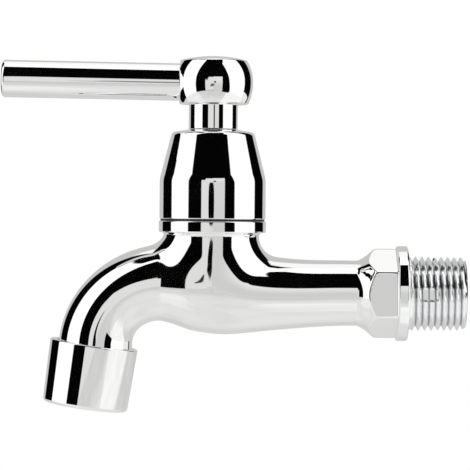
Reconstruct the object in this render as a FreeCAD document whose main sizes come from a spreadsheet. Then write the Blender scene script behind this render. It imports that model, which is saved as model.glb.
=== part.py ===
import FreeCAD, Part
import math
import os
import types
import Sketcher

# A chrome wall tap for a washing machine: a cast body with a screwed inlet and a bent spout,
# a quarter turn ceramic cartridge under a screwed cap, a lever handle, and a nozzle sleeve
# that holds the aerator. Millimetres. The origin is the middle of the collar's face that meets
# the wall, on the inlet's axis. +X points into the wall, +Z up, and the spout leaves to -X.

DRIVING_SIZES = [
    ("thread_clearance", 0.10),
    ("seat_clearance", 0.05),
    ("running_clearance", 0.05),
    ("inlet_thread_radius", 10.48),
    ("inlet_thread_length", 16.3),
    ("inlet_end_chamfer", 0.9),
    ("inlet_bore_radius", 6.5),
    ("inlet_bore_depth", 41.0),
    ("collar_radius", 13.36),
    ("collar_thickness", 3.1),
    ("collar_edge", 0.45),
    ("hex_across_flats", 22.0),
    ("hex_corner_trim", 0.1),
    ("hex_length", 5.4),
    ("hex_cone_length", 4.2),
    ("hex_cone_sink", 0.3),
    ("tube_radius", 9.25),
    ("tube_straight", 25.0),
    ("valve_distance", 55.0),
    ("bulb_half_height", 11.5),
    ("bulb_over_neck", 0.5),
    ("bulb_drop", 0.4),
    ("bulb_shoulder_before", 17.0),
    ("bulb_shoulder_swell", 1.23),
    ("bulb_middle_before", 3.0),
    ("bulb_front_after", 7.0),
    ("bulb_front_thinning", 0.6),
    ("neck_wall", 2.6),
    ("neck_root_depth", 2.0),
    ("neck_fillet", 4.6),
    ("ring_overhang", 0.17),
    ("ring_bottom", 16.75),
    ("ring_height", 3.25),
    ("ring_edge", 0.3),
    ("bend_distance", 69.75),
    ("spout_level", 1.75),
    ("bend_radius", 18.38),
    ("bend_angle", 82.0),
    ("spout_radius", 9.95),
    ("spout_swelling", 0.8),
    ("spout_bore_radius", 6.5),
    ("spout_thread_radius", 10.48),
    ("spout_thread_length", 7.5),
    ("spout_relief_length", 2.0),
    ("spout_end_chamfer", 0.5),
    ("lower_passage_radius", 4.0),
    ("lower_passage_drop", 5.2),
    ("lower_passage_start", 36.0),
    ("seat_level", 1.0),
    ("seat_hole_radius", 4.5),
    ("seat_shelf", 3.0),
    ("chamber_gap", 0.7),
    ("chamber_height", 9.5),
    ("housing_thread_step", 0.4),
    ("housing_thread_lead", 0.8),
    ("housing_skirt_wall", 0.7),
    ("housing_skirt_lift", 0.8),
    ("housing_window_width", 8.6),
    ("housing_window_margin", 0.3),
    ("housing_flange_gap", 0.6),
    ("housing_flange_height", 1.6),
    ("housing_hex_flats", 22.0),
    ("housing_hex_height", 3.9),
    ("housing_oring_section", 1.6),
    ("cap_thread_radius", 9.9),
    ("cap_thread_length", 7.5),
    ("gland_wall", 1.6),
    ("gland_sink", 2.2),
    ("seal_thickness", 2.4),
    ("seal_width", 1.5),
    ("disc_radius", 8.4),
    ("disc_clearance", 0.2),
    ("fixed_disc_thickness", 3.0),
    ("rotating_disc_thickness", 2.8),
    ("port_inner_radius", 2.4),
    ("port_rim", 1.8),
    ("port_half_angle", 40.0),
    ("lug_width", 3.0),
    ("dog_width", 2.4),
    ("dog_length", 2.5),
    ("dog_height", 1.2),
    ("foot_step", 0.6),
    ("foot_thickness", 3.0),
    ("thrust_washer_thickness", 0.5),
    ("spindle_radius", 4.6),
    ("spindle_oring_section", 1.1),
    ("lower_oring_rise", 2.5),
    ("upper_oring_rise", 9.5),
    ("circlip_thickness", 0.8),
    ("circlip_width", 1.9),
    ("circlip_groove_depth", 0.7),
    ("circlip_play", 0.1),
    ("spline_tip_radius", 4.0),
    ("spline_depth", 0.45),
    ("spline_teeth", 20),
    ("spline_end_bevel", 0.4),
    ("spline_end_gap", 0.6),
    ("gasket_thickness", 0.5),
    ("gasket_inset", 0.28),
    ("gasket_width", 1.05),
    ("cap_radius", 14.93),
    ("cap_side_height", 11.3),
    ("cap_cone_height", 13.1),
    ("cap_taper", 3.33),
    ("cap_shoulder_round", 1.2),
    ("cap_top_rise", 0.8),
    ("cap_web_level", 6.0),
    ("cap_web_relief", 0.5),
    ("cap_roof_thickness", 2.2),
    ("cap_hole_clearance", 0.4),
    ("cap_edge", 0.3),
    ("hub_neck_overlap", 0.3),
    ("hub_gap", 0.35),
    ("hub_neck_height", 6.75),
    ("hub_shoulder_rise", 3.95),
    ("hub_bore_clearance", 0.6),
    ("head_bottom_radius", 9.7),
    ("head_radius", 11.13),
    ("head_lower_height", 6.4),
    ("head_belly_radius", 13.5),
    ("head_rim_radius", 9.4),
    ("head_dome_rise", 1.2),
    ("head_rim_round", 0.7),
    ("head_flat_distance", 9.5),
    ("lever_drop", 0.3),
    ("lever_radius", 5.25),
    ("lever_reach", 59.6),
    ("lever_rise", 0.7),
    ("lever_end_round", 1.0),
    ("lever_stud_radius", 3.0),
    ("lever_stud_bevel", 0.4),
    ("sleeve_wall", 1.82),
    ("sleeve_taper", 0.45),
    ("sleeve_length", 17.8),
    ("sleeve_top_gap", 0.8),
    ("sleeve_lip_width", 1.38),
    ("sleeve_lip_thickness", 1.2),
    ("sleeve_bottom_round", 1.0),
    ("sleeve_top_edge", 0.3),
    ("nozzle_washer_thickness", 1.5),
    ("nozzle_washer_step", 1.0),
    ("aerator_gap", 0.28),
    ("aerator_wall", 1.1),
    ("aerator_step", 0.9),
    ("aerator_rib", 0.7),
    ("aerator_grille_depth", 1.2),
    ("aerator_plate_thickness", 1.4),
    ("aerator_screen_thickness", 0.3),
    ("plate_hole_radius", 0.55),
    ("plate_hole_ring", 6.2),
    ("plate_hole_count", 16),
]

doc = FreeCAD.newDocument("WashingMachineTap")


class Size:
    """A number together with the spreadsheet expression that it comes from."""

    def __init__(self, text, number):
        self.text = text
        self.number = number

    def __add__(self, other):
        other = as_size(other)
        return Size(f"({self.text} + {other.text})", self.number + other.number)

    def __sub__(self, other):
        other = as_size(other)
        return Size(f"({self.text} - {other.text})", self.number - other.number)

    def __rsub__(self, other):
        return as_size(other) - self

    def __mul__(self, other):
        other = as_size(other)
        return Size(f"({self.text} * {other.text})", self.number * other.number)

    def __truediv__(self, other):
        other = as_size(other)
        return Size(f"({self.text} / {other.text})", self.number / other.number)

    def __neg__(self):
        return Size(f"(0 - {self.text})", -self.number)

    __radd__ = __add__
    __rmul__ = __mul__


def as_size(value):
    """Give a plain number the same form as a size from the sheet."""
    if isinstance(value, Size):
        return value
    return Size(repr(float(value)), float(value))


def root_of(value):
    return Size(f"sqrt({value.text})", math.sqrt(value.number))


def cosine_of(angle):
    angle = as_size(angle)
    return Size(f"cos({angle.text})", math.cos(math.radians(angle.number)))


def sine_of(angle):
    angle = as_size(angle)
    return Size(f"sin({angle.text})", math.sin(math.radians(angle.number)))


def write_sheet():
    """Put the driving sizes in the sheet and return them by name."""
    sheet = doc.addObject("Spreadsheet::Sheet", "Sizes")
    named = types.SimpleNamespace()
    for row, (alias, number) in enumerate(DRIVING_SIZES, start=1):
        sheet.set(f"A{row}", alias.replace("_", " "))
        sheet.set(f"B{row}", str(number))
        sheet.setAlias(f"B{row}", alias)
        setattr(named, alias, Size(f"Sizes.{alias}", float(number)))
    doc.recompute()
    return named


s = write_sheet()


def bind(target, prop, value):
    """Drive a property by the sheet."""
    target.setExpression(prop, as_size(value).text)


def put(target, x=0.0, y=0.0, z=0.0, turn=0.0, roll=0.0):
    """Place an object: first rolled about its own X axis, then turned about the Y axis."""
    place = f"vector({as_size(x).text}; {as_size(y).text}; {as_size(z).text})"
    turned_by = f"rotation(vector(0; 1; 0); {as_size(turn).text})"
    rolled_by = f"rotation(vector(1; 0; 0); {as_size(roll).text})"
    target.setExpression("Placement", f"placement({place}; {turned_by} * {rolled_by})")
    return target


def origin_plane(body, role):
    """One of a body's own origin planes."""
    for feature in body.Origin.OriginFeatures:
        if feature.Role == role:
            return feature
    raise ValueError(role)


def new_sketch(body, name, role="XZ_Plane", height=0.0):
    """A sketch on a body's own plane, lifted along the plane's normal."""
    sketch = body.newObject("Sketcher::SketchObject", name)
    sketch.AttachmentSupport = (origin_plane(body, role), "")
    sketch.MapMode = "FlatFace"
    bind(sketch, "AttachmentOffset.Base.z", height)
    return sketch


def fix_point(sketch, geometry, point, across, up):
    """Hold one end of a sketch line at its two dimensions."""
    for kind, value in (("DistanceX", as_size(across)), ("DistanceY", as_size(up))):
        index = sketch.addConstraint(Sketcher.Constraint(kind, -1, 1, geometry, point, value.number))
        if "Sizes" in value.text:
            sketch.setExpression(f"Constraints[{index}]", value.text)


def draw_outline(sketch, corners):
    """Draw a closed outline.

    A corner is (across, up), or (across, up, radius) where the side that starts there is an
    arc: a positive radius bulges to the right of the way of travel, a negative one to the left.
    """
    points = [FreeCAD.Vector(as_size(c[0]).number, as_size(c[1]).number, 0) for c in corners]
    for index, corner in enumerate(corners):
        start = points[index]
        end = points[(index + 1) % len(points)]
        if len(corner) == 2:
            side = sketch.addGeometry(Part.LineSegment(start, end))
            fix_point(sketch, side, 1, corner[0], corner[1])
            fix_point(sketch, side, 2, *corners[(index + 1) % len(corners)][:2])
            continue
        radius = as_size(corner[2])
        chord = end - start
        height = math.sqrt(max(radius.number ** 2 - chord.Length ** 2 / 4, 0.0))
        left = FreeCAD.Vector(-chord.y, chord.x, 0).normalize()
        side_sign = 1 if radius.number > 0 else -1
        centre = (start + end) / 2 + left * height * side_sign
        circle = Part.Circle(centre, FreeCAD.Vector(0, 0, 1), abs(radius.number))
        first, last = (start, end) if side_sign > 0 else (end, start)
        arc = Part.ArcOfCircle(circle, circle.parameter(first), circle.parameter(last))
        side = sketch.addGeometry(arc)
        start_point, end_point = (1, 2) if side_sign > 0 else (2, 1)
        fix_point(sketch, side, start_point, corner[0], corner[1])
        fix_point(sketch, side, end_point, *corners[(index + 1) % len(corners)][:2])
        size = radius if side_sign > 0 else -radius
        number = sketch.addConstraint(Sketcher.Constraint("Radius", side, size.number))
        if "Sizes" in size.text:
            sketch.setExpression(f"Constraints[{number}]", size.text)
    return sketch


def draw_circle(sketch, across, up, radius):
    """Draw one circle, held by its centre and radius."""
    across, up, radius = as_size(across), as_size(up), as_size(radius)
    middle = FreeCAD.Vector(across.number, up.number, 0)
    index = sketch.addGeometry(Part.Circle(middle, FreeCAD.Vector(0, 0, 1), radius.number))
    fix_point(sketch, index, 3, across, up)
    number = sketch.addConstraint(Sketcher.Constraint("Radius", index, radius.number))
    if "Sizes" in radius.text:
        sketch.setExpression(f"Constraints[{number}]", radius.text)
    return sketch


def rectangle(left, right, bottom, top):
    return [(left, bottom), (right, bottom), (right, top), (left, top)]


def sector(inner, outer, half_angle, middle_angle):
    """A piece of a ring between two radii, centred on one direction."""
    first = middle_angle - half_angle
    last = middle_angle + half_angle
    return [
        (inner * cosine_of(first), inner * sine_of(first)),
        (outer * cosine_of(first), outer * sine_of(first), outer),
        (outer * cosine_of(last), outer * sine_of(last)),
        (inner * cosine_of(last), inner * sine_of(last), -inner),
    ]


def hexagon(across_flats):
    """A hexagon with two corners on the sketch's own horizontal axis."""
    corner = across_flats / root_of(as_size(3))
    return [(corner * cosine_of(60 * k), corner * sine_of(60 * k)) for k in range(6)]


def new_body(label):
    body = doc.addObject("PartDesign::Body", label)
    body.Label = label
    return body


def turn_solid(body, name, corners, operation="PartDesign::Revolution"):
    """Revolve an outline of (radius, height) corners about the body's own Z axis."""
    sketch = draw_outline(new_sketch(body, name + "_outline"), corners)
    feature = body.newObject(operation, name)
    feature.Profile = sketch
    feature.ReferenceAxis = (sketch, ["V_Axis"])
    feature.Angle = 360
    doc.recompute()
    return feature


def pad(body, name, sketch, length):
    feature = body.newObject("PartDesign::Pad", name)
    feature.Profile = sketch
    bind(feature, "Length", length)
    doc.recompute()
    return feature


def pocket(body, name, sketch, length):
    """Cut upwards from the sketch: the pocket's own direction points down, so it is reversed."""
    before = body.Shape.Volume
    feature = body.newObject("PartDesign::Pocket", name)
    feature.Profile = sketch
    bind(feature, "Length", length)
    feature.Reversed = True
    doc.recompute()
    if body.Shape.Volume > before - 1e-6:
        raise RuntimeError(f"{name} cuts nothing")
    return feature


def pattern(body, name, feature, count):
    """Repeat a feature round the body's own Z axis."""
    ring = body.newObject("PartDesign::PolarPattern", name)
    ring.Originals = [feature]
    ring.Axis = (origin_plane(body, "Z_Axis"), [""])
    ring.Angle = 360
    if isinstance(count, Size):
        bind(ring, "Occurrences", count)
    else:
        ring.Occurrences = count
    body.Tip = ring
    doc.recompute()
    return ring


def rim_edges(shape, radius, height):
    """Names of the full round edges of one radius at one height of a turned shape."""
    found = []
    for number, edge in enumerate(shape.Edges, start=1):
        if edge.Degenerated or not isinstance(edge.Curve, Part.Circle):
            continue
        same_radius = abs(edge.Curve.Radius - as_size(radius).number) < 0.01
        same_height = abs(edge.Curve.Center.z - as_size(height).number) < 0.01
        if same_radius and same_height:
            found.append(f"Edge{number}")
    return found


def dress_rims(body, operation, size_name, name, feature, rims, size):
    """Dress the edges at (radius, height) places of a turned solid."""
    names = []
    for rim_radius, rim_height in rims:
        names += rim_edges(feature.Shape, rim_radius, rim_height)
    dressed = body.newObject(operation, name)
    dressed.Base = (feature, names)
    bind(dressed, size_name, size)
    doc.recompute()
    return dressed


def round_rims(body, name, feature, rims, radius):
    return dress_rims(body, "PartDesign::Fillet", "Radius", name, feature, rims, radius)


def bevel_rims(body, name, feature, rims, size):
    return dress_rims(body, "PartDesign::Chamfer", "Size", name, feature, rims, size)


def seal_ring(label, middle_radius, section_radius, height):
    """A moulded seal ring, its round section drawn with eight sides."""
    section = []
    for side in range(8):
        angle = as_size(22.5 + 45 * side)
        section.append((middle_radius + section_radius * cosine_of(angle),
                        height + section_radius * sine_of(angle)))
    body = new_body(label)
    turn_solid(body, "ring", section)
    return body


def cylinder(name, radius, height):
    shape = doc.addObject("Part::Cylinder", name)
    bind(shape, "Radius", radius)
    bind(shape, "Height", height)
    return shape


# Radii of the valve, from the discs out: each piece is sized by the one inside it.
skirt_inner_radius = s.disc_radius + s.disc_clearance
skirt_radius = skirt_inner_radius + s.housing_skirt_wall
chamber_radius = skirt_radius + s.chamber_gap
housing_thread_radius = chamber_radius + s.housing_thread_step
thread_bore_radius = housing_thread_radius + s.thread_clearance
neck_radius = thread_bore_radius + s.neck_wall
foot_radius = s.disc_radius - s.foot_step
spindle_bore_radius = s.spindle_radius + s.running_clearance
gland_radius = s.spindle_radius + s.gland_wall
cap_hole_radius = gland_radius + s.cap_hole_clearance
hub_neck_radius = cap_hole_radius + s.hub_neck_overlap
gasket_outer_radius = s.cap_radius - s.gasket_inset
gasket_inner_radius = gasket_outer_radius - s.gasket_width
ring_radius = s.cap_radius + s.ring_overhang

# Levels of the valve, from the seat up, on the valve's own vertical axis.
ring_top = s.ring_bottom + s.ring_height
fixed_disc_level = s.seat_level + s.seal_thickness
rotating_disc_level = fixed_disc_level + s.fixed_disc_thickness
foot_level = rotating_disc_level + s.rotating_disc_thickness
foot_top = foot_level + s.foot_thickness
washer_top = foot_top + s.thrust_washer_thickness
chamber_top = s.seat_level + s.chamber_height
flange_top = ring_top + s.housing_flange_height
hex_top = flange_top + s.housing_hex_height
lower_oring_level = ring_top + s.lower_oring_rise
upper_oring_level = ring_top + s.upper_oring_rise
cap_level = ring_top + s.gasket_thickness
cap_side_top = cap_level + s.cap_side_height
cap_shoulder_level = cap_side_top + s.cap_cone_height
cap_top = cap_shoulder_level + s.cap_top_rise
gland_top = cap_top - s.gland_sink
circlip_level = gland_top + s.circlip_play
hub_level = cap_top + s.hub_gap
hub_shoulder_level = hub_level + s.hub_shoulder_rise
head_level = hub_level + s.hub_neck_height
head_middle_level = head_level + s.head_lower_height
lever_level = head_middle_level - s.lever_drop
spline_top = lever_level + s.lever_stud_radius
valve_x = -s.valve_distance

# The spout's bend lies in the XZ plane, and its mouth frame has Z pointing back up the spout.
bend_x = -s.bend_distance
bend_z = s.spout_level - s.bend_radius
mouth_turn = 90 - s.bend_angle
mouth_x = bend_x - s.bend_radius * sine_of(s.bend_angle)
mouth_z = bend_z + s.bend_radius * cosine_of(s.bend_angle)


def casting_station(name, x, z, half_height, extra_width, lean=0.0):
    """An oval section of the casting, square to the way that the water runs."""
    oval = doc.addObject("Part::Ellipse", name)
    bind(oval, "MajorRadius", half_height + extra_width)
    bind(oval, "MinorRadius", half_height)
    place = f"vector({as_size(x).text}; 0; {as_size(z).text})"
    leaning = f"rotation(vector(0; 1; 0); 0 - {as_size(lean).text})"
    oval.setExpression("Placement", f"placement({place}; {leaning} * rotation(vector(1; 1; 1); 120))")
    return oval


def casting_skin():
    """The tube, the bulb under the valve and the bent spout as one smooth loft."""
    tube_start = -(s.collar_thickness + s.hex_length)
    bulb_width = neck_radius + s.bulb_over_neck - s.bulb_half_height
    stations = [
        casting_station("tube_start", tube_start, 0, s.tube_radius, 0),
        casting_station("tube_behind_hexagon", tube_start - s.hex_cone_length, 0, s.tube_radius, 0),
        casting_station("tube_end", -s.tube_straight, 0, s.tube_radius, 0),
        casting_station("bulb_shoulder", valve_x + s.bulb_shoulder_before, -s.bulb_drop / 2,
                        s.tube_radius + s.bulb_shoulder_swell, bulb_width / 8),
        casting_station("bulb_middle", valve_x + s.bulb_middle_before, -s.bulb_drop, s.bulb_half_height,
                        bulb_width),
        casting_station("bulb_front", valve_x - s.bulb_front_after, s.bulb_drop,
                        s.bulb_half_height - s.bulb_front_thinning, bulb_width * 0.6),
    ]
    for step, share in enumerate((0.0, 0.17, 0.34, 0.51, 0.68, 0.84, 1.0)):
        swelling = s.spout_swelling * (1 - share) ** 3
        angle = s.bend_angle * share
        radius = s.bend_radius + swelling
        stations.append(casting_station(f"bend_{step}", bend_x - radius * sine_of(angle),
                                        bend_z + radius * cosine_of(angle),
                                        s.spout_radius + swelling, 0, angle))
    skin = doc.addObject("Part::Loft", "casting_skin")
    skin.Sections = stations
    skin.Solid = True
    skin.Ruled = False
    return skin


def casting_neck():
    """The upright neck and the ring that the cap's gasket sits on."""
    root = s.seat_level - s.neck_root_depth
    body = new_body("casting_neck")
    solid = turn_solid(body, "neck", [
        (0, root), (neck_radius, root), (neck_radius, s.ring_bottom),
        (ring_radius, s.ring_bottom), (ring_radius, ring_top), (0, ring_top),
    ])
    bevel_rims(body, "ring_bevels", solid, [(ring_radius, s.ring_bottom), (ring_radius, ring_top)],
               s.ring_edge)
    return put(body, valve_x)


def casting_inlet():
    """The collar and the male thread that screws into the wall."""
    body = new_body("casting_inlet")
    solid = turn_solid(body, "inlet", [
        (0, -s.collar_thickness), (s.collar_radius, -s.collar_thickness), (s.collar_radius, 0),
        (s.inlet_thread_radius, 0),
        (s.inlet_thread_radius, s.inlet_thread_length - s.inlet_end_chamfer),
        (s.inlet_thread_radius - s.inlet_end_chamfer, s.inlet_thread_length),
        (0, s.inlet_thread_length),
    ])
    bevel_rims(body, "collar_bevels", solid, [(s.collar_radius, -s.collar_thickness), (s.collar_radius, 0)],
               s.collar_edge)
    return put(body, turn=90)


def casting_hexagon():
    """The spanner hexagon behind the collar, trimmed round and coned down to the tube."""
    length = s.hex_length + s.hex_cone_length
    circumradius = s.hex_across_flats / root_of(as_size(3))
    corner = circumradius - s.hex_corner_trim
    prism = doc.addObject("Part::Prism", "hex_prism")
    prism.Polygon = 6
    bind(prism, "Circumradius", circumradius)
    bind(prism, "Height", length)
    put(prism, -s.collar_thickness, turn=-90)
    blank = new_body("hex_blank")
    turn_solid(blank, "blank", [
        (0, 0), (corner, 0), (corner, s.hex_length),
        (s.tube_radius - s.hex_cone_sink, length), (0, length),
    ])
    put(blank, -s.collar_thickness, turn=-90)
    common = doc.addObject("Part::Common", "casting_hexagon")
    common.Base = prism
    common.Tool = blank
    return common


def casting_tip():
    """The spout's turned end, threaded for the nozzle sleeve."""
    end = s.spout_relief_length + s.spout_thread_length
    tube = s.spout_radius - 0.05
    body = new_body("casting_tip")
    turn_solid(body, "tip", [
        (0, 0.5), (tube, 0.5), (tube, -s.spout_relief_length),
        (s.spout_thread_radius, -s.spout_relief_length), (s.spout_thread_radius, s.spout_end_chamfer - end),
        (s.spout_thread_radius - s.spout_end_chamfer, -end), (0, -end),
    ])
    return put(body, mouth_x, 0, mouth_z, mouth_turn)


def neck_edges(shape):
    """Numbers of the edges where the neck runs into the tube and bulb."""
    found = []
    for number, edge in enumerate(shape.Edges, start=1):
        if edge.Degenerated:
            continue
        middle = edge.valueAt((edge.FirstParameter + edge.LastParameter) / 2)
        reach = math.hypot(middle.x - valve_x.number, middle.y)
        on_neck = abs(reach - neck_radius.number) < 0.02
        below_ring = middle.z < s.ring_bottom.number - 0.5
        if on_neck and below_ring and not isinstance(edge.Curve, Part.Line):
            found.append(number)
    return found


def water_ways():
    """Every hollow of the casting: inlet bore, seat, valve chamber and spout bore."""
    inlet = cylinder("inlet_bore", s.inlet_bore_radius, s.inlet_bore_depth + s.inlet_thread_length + 1)
    put(inlet, -s.inlet_bore_depth, turn=90)
    lower_end = s.valve_distance + s.seat_hole_radius / 2
    lower = cylinder("lower_passage", s.lower_passage_radius, lower_end - s.lower_passage_start)
    put(lower, -lower_end, 0, -s.lower_passage_drop, 90)
    seat_hole = cylinder("seat_hole", s.seat_hole_radius, s.seat_level + s.lower_passage_drop)
    put(seat_hole, valve_x, 0, -s.lower_passage_drop)
    shelf = ring_top - s.housing_oring_section - s.seat_clearance
    oring_bore = housing_thread_radius + s.housing_oring_section + 3 * s.seat_clearance
    pocket_body = new_body("valve_pocket")
    turn_solid(pocket_body, "pocket", [
        (0, s.seat_level), (chamber_radius, s.seat_level), (chamber_radius, chamber_top),
        (thread_bore_radius, chamber_top + s.housing_thread_step), (thread_bore_radius, shelf),
        (oring_bore, shelf),
        (oring_bore, ring_top + 1), (0, ring_top + 1),
    ])
    put(pocket_body, valve_x)
    bend = doc.addObject("Part::Torus", "bend_bore")
    bind(bend, "Radius1", s.bend_radius)
    bind(bend, "Radius2", s.spout_bore_radius)
    bind(bend, "Angle3", s.bend_angle)
    put(bend, bend_x, 0, bend_z, -90, 90)
    spout_start = s.bend_distance - s.valve_distance - chamber_radius + s.seat_shelf
    straight = cylinder("spout_bore", s.spout_bore_radius, spout_start)
    put(straight, bend_x, 0, s.spout_level, 90)
    tip_length = s.spout_relief_length + s.spout_thread_length + 1
    tip = cylinder("tip_bore", s.spout_bore_radius, tip_length)
    put(tip, mouth_x, 0, mouth_z, mouth_turn + 180)
    ways = doc.addObject("Part::MultiFuse", "water_ways")
    ways.Shapes = [inlet, lower, seat_hole, pocket_body, straight, bend, tip]
    return ways


def make_tap_body():
    outside = doc.addObject("Part::MultiFuse", "casting_outside")
    outside.Shapes = [casting_skin(), casting_neck()]
    doc.recompute()
    blended = doc.addObject("Part::Fillet", "casting_blend")
    blended.Base = outside
    radius = s.neck_fillet.number
    blended.Edges = [(number, radius, radius) for number in neck_edges(outside.Shape)]
    whole = doc.addObject("Part::MultiFuse", "casting_whole")
    whole.Shapes = [blended, casting_inlet(), casting_hexagon(), casting_tip()]
    body = doc.addObject("Part::Cut", "tap_body")
    body.Base = whole
    body.Tool = water_ways()
    body.Label = "tap_body"
    doc.recompute()
    return body


def make_cartridge_housing():
    """The brass headpart: a windowed skirt, a thread into the body, a hexagon, a thread for
    the cap, and the gland that carries the spindle."""
    bottom = s.seat_level + s.housing_skirt_lift
    shoulder = washer_top + s.seat_clearance
    thread_start = chamber_top + s.housing_thread_lead
    cap_thread_top = hex_top + s.cap_thread_length
    flange_radius = gasket_inner_radius - s.housing_flange_gap
    body = new_body("cartridge_housing")
    turn_solid(body, "blank", [
        (0, bottom), (skirt_radius, bottom), (skirt_radius, thread_start),
        (housing_thread_radius, thread_start + s.housing_thread_lead), (housing_thread_radius, ring_top),
        (flange_radius, ring_top), (flange_radius, flange_top),
        (s.cap_thread_radius, flange_top), (s.cap_thread_radius, cap_thread_top),
        (gland_radius, cap_thread_top), (gland_radius, gland_top), (0, gland_top),
    ])
    hexagon_sketch = draw_outline(new_sketch(body, "hex_outline", "XY_Plane", flange_top),
                                  hexagon(s.housing_hex_flats))
    pad(body, "hexagon", hexagon_sketch, s.housing_hex_height)
    turn_solid(body, "bore", [
        (0, bottom - 1), (skirt_inner_radius, bottom - 1), (skirt_inner_radius, shoulder),
        (spindle_bore_radius, shoulder), (spindle_bore_radius, gland_top + 1), (0, gland_top + 1),
    ], "PartDesign::Groove")
    across_pocket(body, "windows", "YZ_Plane", s.housing_window_width / 2,
                  rotating_disc_level - s.housing_window_margin, foot_level + s.housing_window_margin)
    across_pocket(body, "lug_slots", "XZ_Plane", s.lug_width / 2 + s.seat_clearance,
                  bottom - 1, rotating_disc_level)
    return put(body, valve_x)


def across_pocket(body, name, role, half_width, bottom, top):
    """Cut one slot through both sides of a skirt."""
    before = body.Shape.Volume
    sketch = draw_outline(new_sketch(body, name + "_outline", role),
                          rectangle(-half_width, half_width, bottom, top))
    feature = body.newObject("PartDesign::Pocket", name)
    feature.Profile = sketch
    feature.Midplane = True
    bind(feature, "Length", skirt_radius * 2 + 1)
    doc.recompute()
    if body.Shape.Volume > before - 1e-6:
        raise RuntimeError(f"{name} cuts nothing")
    return feature


def grooved_side(radius, grooves):
    """Corners up a shaft of one radius with square grooves of (level, height, groove radius)."""
    corners = []
    for level, height, groove_radius in grooves:
        corners += [(radius, level), (groove_radius, level)]
        corners += [(groove_radius, level + height), (radius, level + height)]
    return corners


def make_spindle():
    """The spindle: a foot with two dogs, two seal grooves, a clip groove and a splined top."""
    groove_radius = spindle_bore_radius - s.spindle_oring_section - s.seat_clearance
    groove_height = s.spindle_oring_section + 2 * s.seat_clearance
    clip_height = s.circlip_thickness + s.circlip_play
    body = new_body("spindle")
    turn_solid(body, "shaft", [
        (0, foot_level), (foot_radius, foot_level), (foot_radius, foot_top),
        (s.spindle_radius, foot_top),
        *grooved_side(s.spindle_radius, [
            (lower_oring_level - groove_height / 2, groove_height, groove_radius),
            (upper_oring_level - groove_height / 2, groove_height, groove_radius),
            (circlip_level, clip_height, s.spindle_radius - s.circlip_groove_depth),
        ]),
        (s.spindle_radius, hub_shoulder_level), (s.spline_tip_radius, hub_shoulder_level),
        (s.spline_tip_radius, spline_top - s.spline_end_bevel),
        (s.spline_tip_radius - s.spline_end_bevel, spline_top),
        (0, spline_top),
    ])
    dog = draw_outline(new_sketch(body, "dog_outline", "XY_Plane", foot_level - s.dog_height),
                       rectangle(foot_radius - s.dog_length, foot_radius - s.seat_clearance,
                                 -s.dog_width / 2, s.dog_width / 2))
    pattern(body, "dogs", pad(body, "dog", dog, s.dog_height), 2)
    root = s.spline_tip_radius - s.spline_depth
    open_edge = s.spline_tip_radius + 0.2
    tooth = draw_outline(new_sketch(body, "spline_groove_outline", "XY_Plane", hub_shoulder_level),
                         [(root, 0), (open_edge, -spline_half_width()), (open_edge, spline_half_width())])
    groove = pocket(body, "spline_groove", tooth, spline_top - hub_shoulder_level + 1)
    pattern(body, "spline", groove, s.spline_teeth)
    return put(body, valve_x)


def spline_half_width():
    """Half of the room that one spline groove takes at the spindle's rim."""
    return s.spline_tip_radius * 2.6 / s.spline_teeth


def make_circlip():
    """The snap ring that stops the spindle from dropping into its housing."""
    body = new_body("spindle_circlip")
    sketch = new_sketch(body, "ring_outline", "XY_Plane", circlip_level)
    inner = s.spindle_radius - s.circlip_groove_depth + s.seat_clearance
    draw_circle(sketch, 0, 0, inner + s.circlip_width)
    draw_circle(sketch, 0, 0, inner)
    pad(body, "ring", sketch, s.circlip_thickness)
    mouth = draw_outline(new_sketch(body, "mouth_outline", "XY_Plane", circlip_level - 1),
                         rectangle(0, inner + s.circlip_width + 1, -inner * 0.8, inner * 0.8))
    pocket(body, "mouth", mouth, s.circlip_thickness + 2)
    return put(body, valve_x)


def make_spindle_oring(label, level):
    """A seal ring in one of the spindle's grooves."""
    section = s.spindle_oring_section / 2
    middle = spindle_bore_radius - s.seat_clearance / 2 - section
    return put(seal_ring(label, middle, section, level), valve_x)


def make_housing_oring():
    """The seal ring under the housing's flange."""
    section = s.housing_oring_section / 2
    middle = housing_thread_radius + s.seat_clearance + section
    level = ring_top - section - s.seat_clearance / 2
    return put(seal_ring("housing_oring", middle, section, level), valve_x)


def make_flat_ring(label, inner, outer, bottom, top):
    """A plain washer or seal about the body's own axis."""
    body = new_body(label)
    turn_solid(body, "ring", rectangle(inner, outer, bottom, top))
    return body


def make_fixed_disc():
    """The ceramic disc that stays in the housing, with two ports and two locking lugs."""
    body = new_body("fixed_disc")
    sketch = draw_circle(new_sketch(body, "disc_outline", "XY_Plane", fixed_disc_level), 0, 0, s.disc_radius)
    pad(body, "disc", sketch, s.fixed_disc_thickness)
    lug_reach = skirt_radius - s.seat_clearance
    lugs = draw_outline(new_sketch(body, "lug_outline", "XY_Plane", fixed_disc_level),
                        rectangle(-s.lug_width / 2, s.lug_width / 2, -lug_reach, lug_reach))
    pad(body, "lugs", lugs, s.fixed_disc_thickness)
    port = draw_outline(new_sketch(body, "port_outline", "XY_Plane", fixed_disc_level),
                        sector(s.port_inner_radius, s.disc_radius - s.port_rim, s.port_half_angle, 0))
    port_cut = pocket(body, "port", port, s.fixed_disc_thickness)
    pattern(body, "ports", port_cut, 2)
    return put(body, valve_x)


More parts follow.
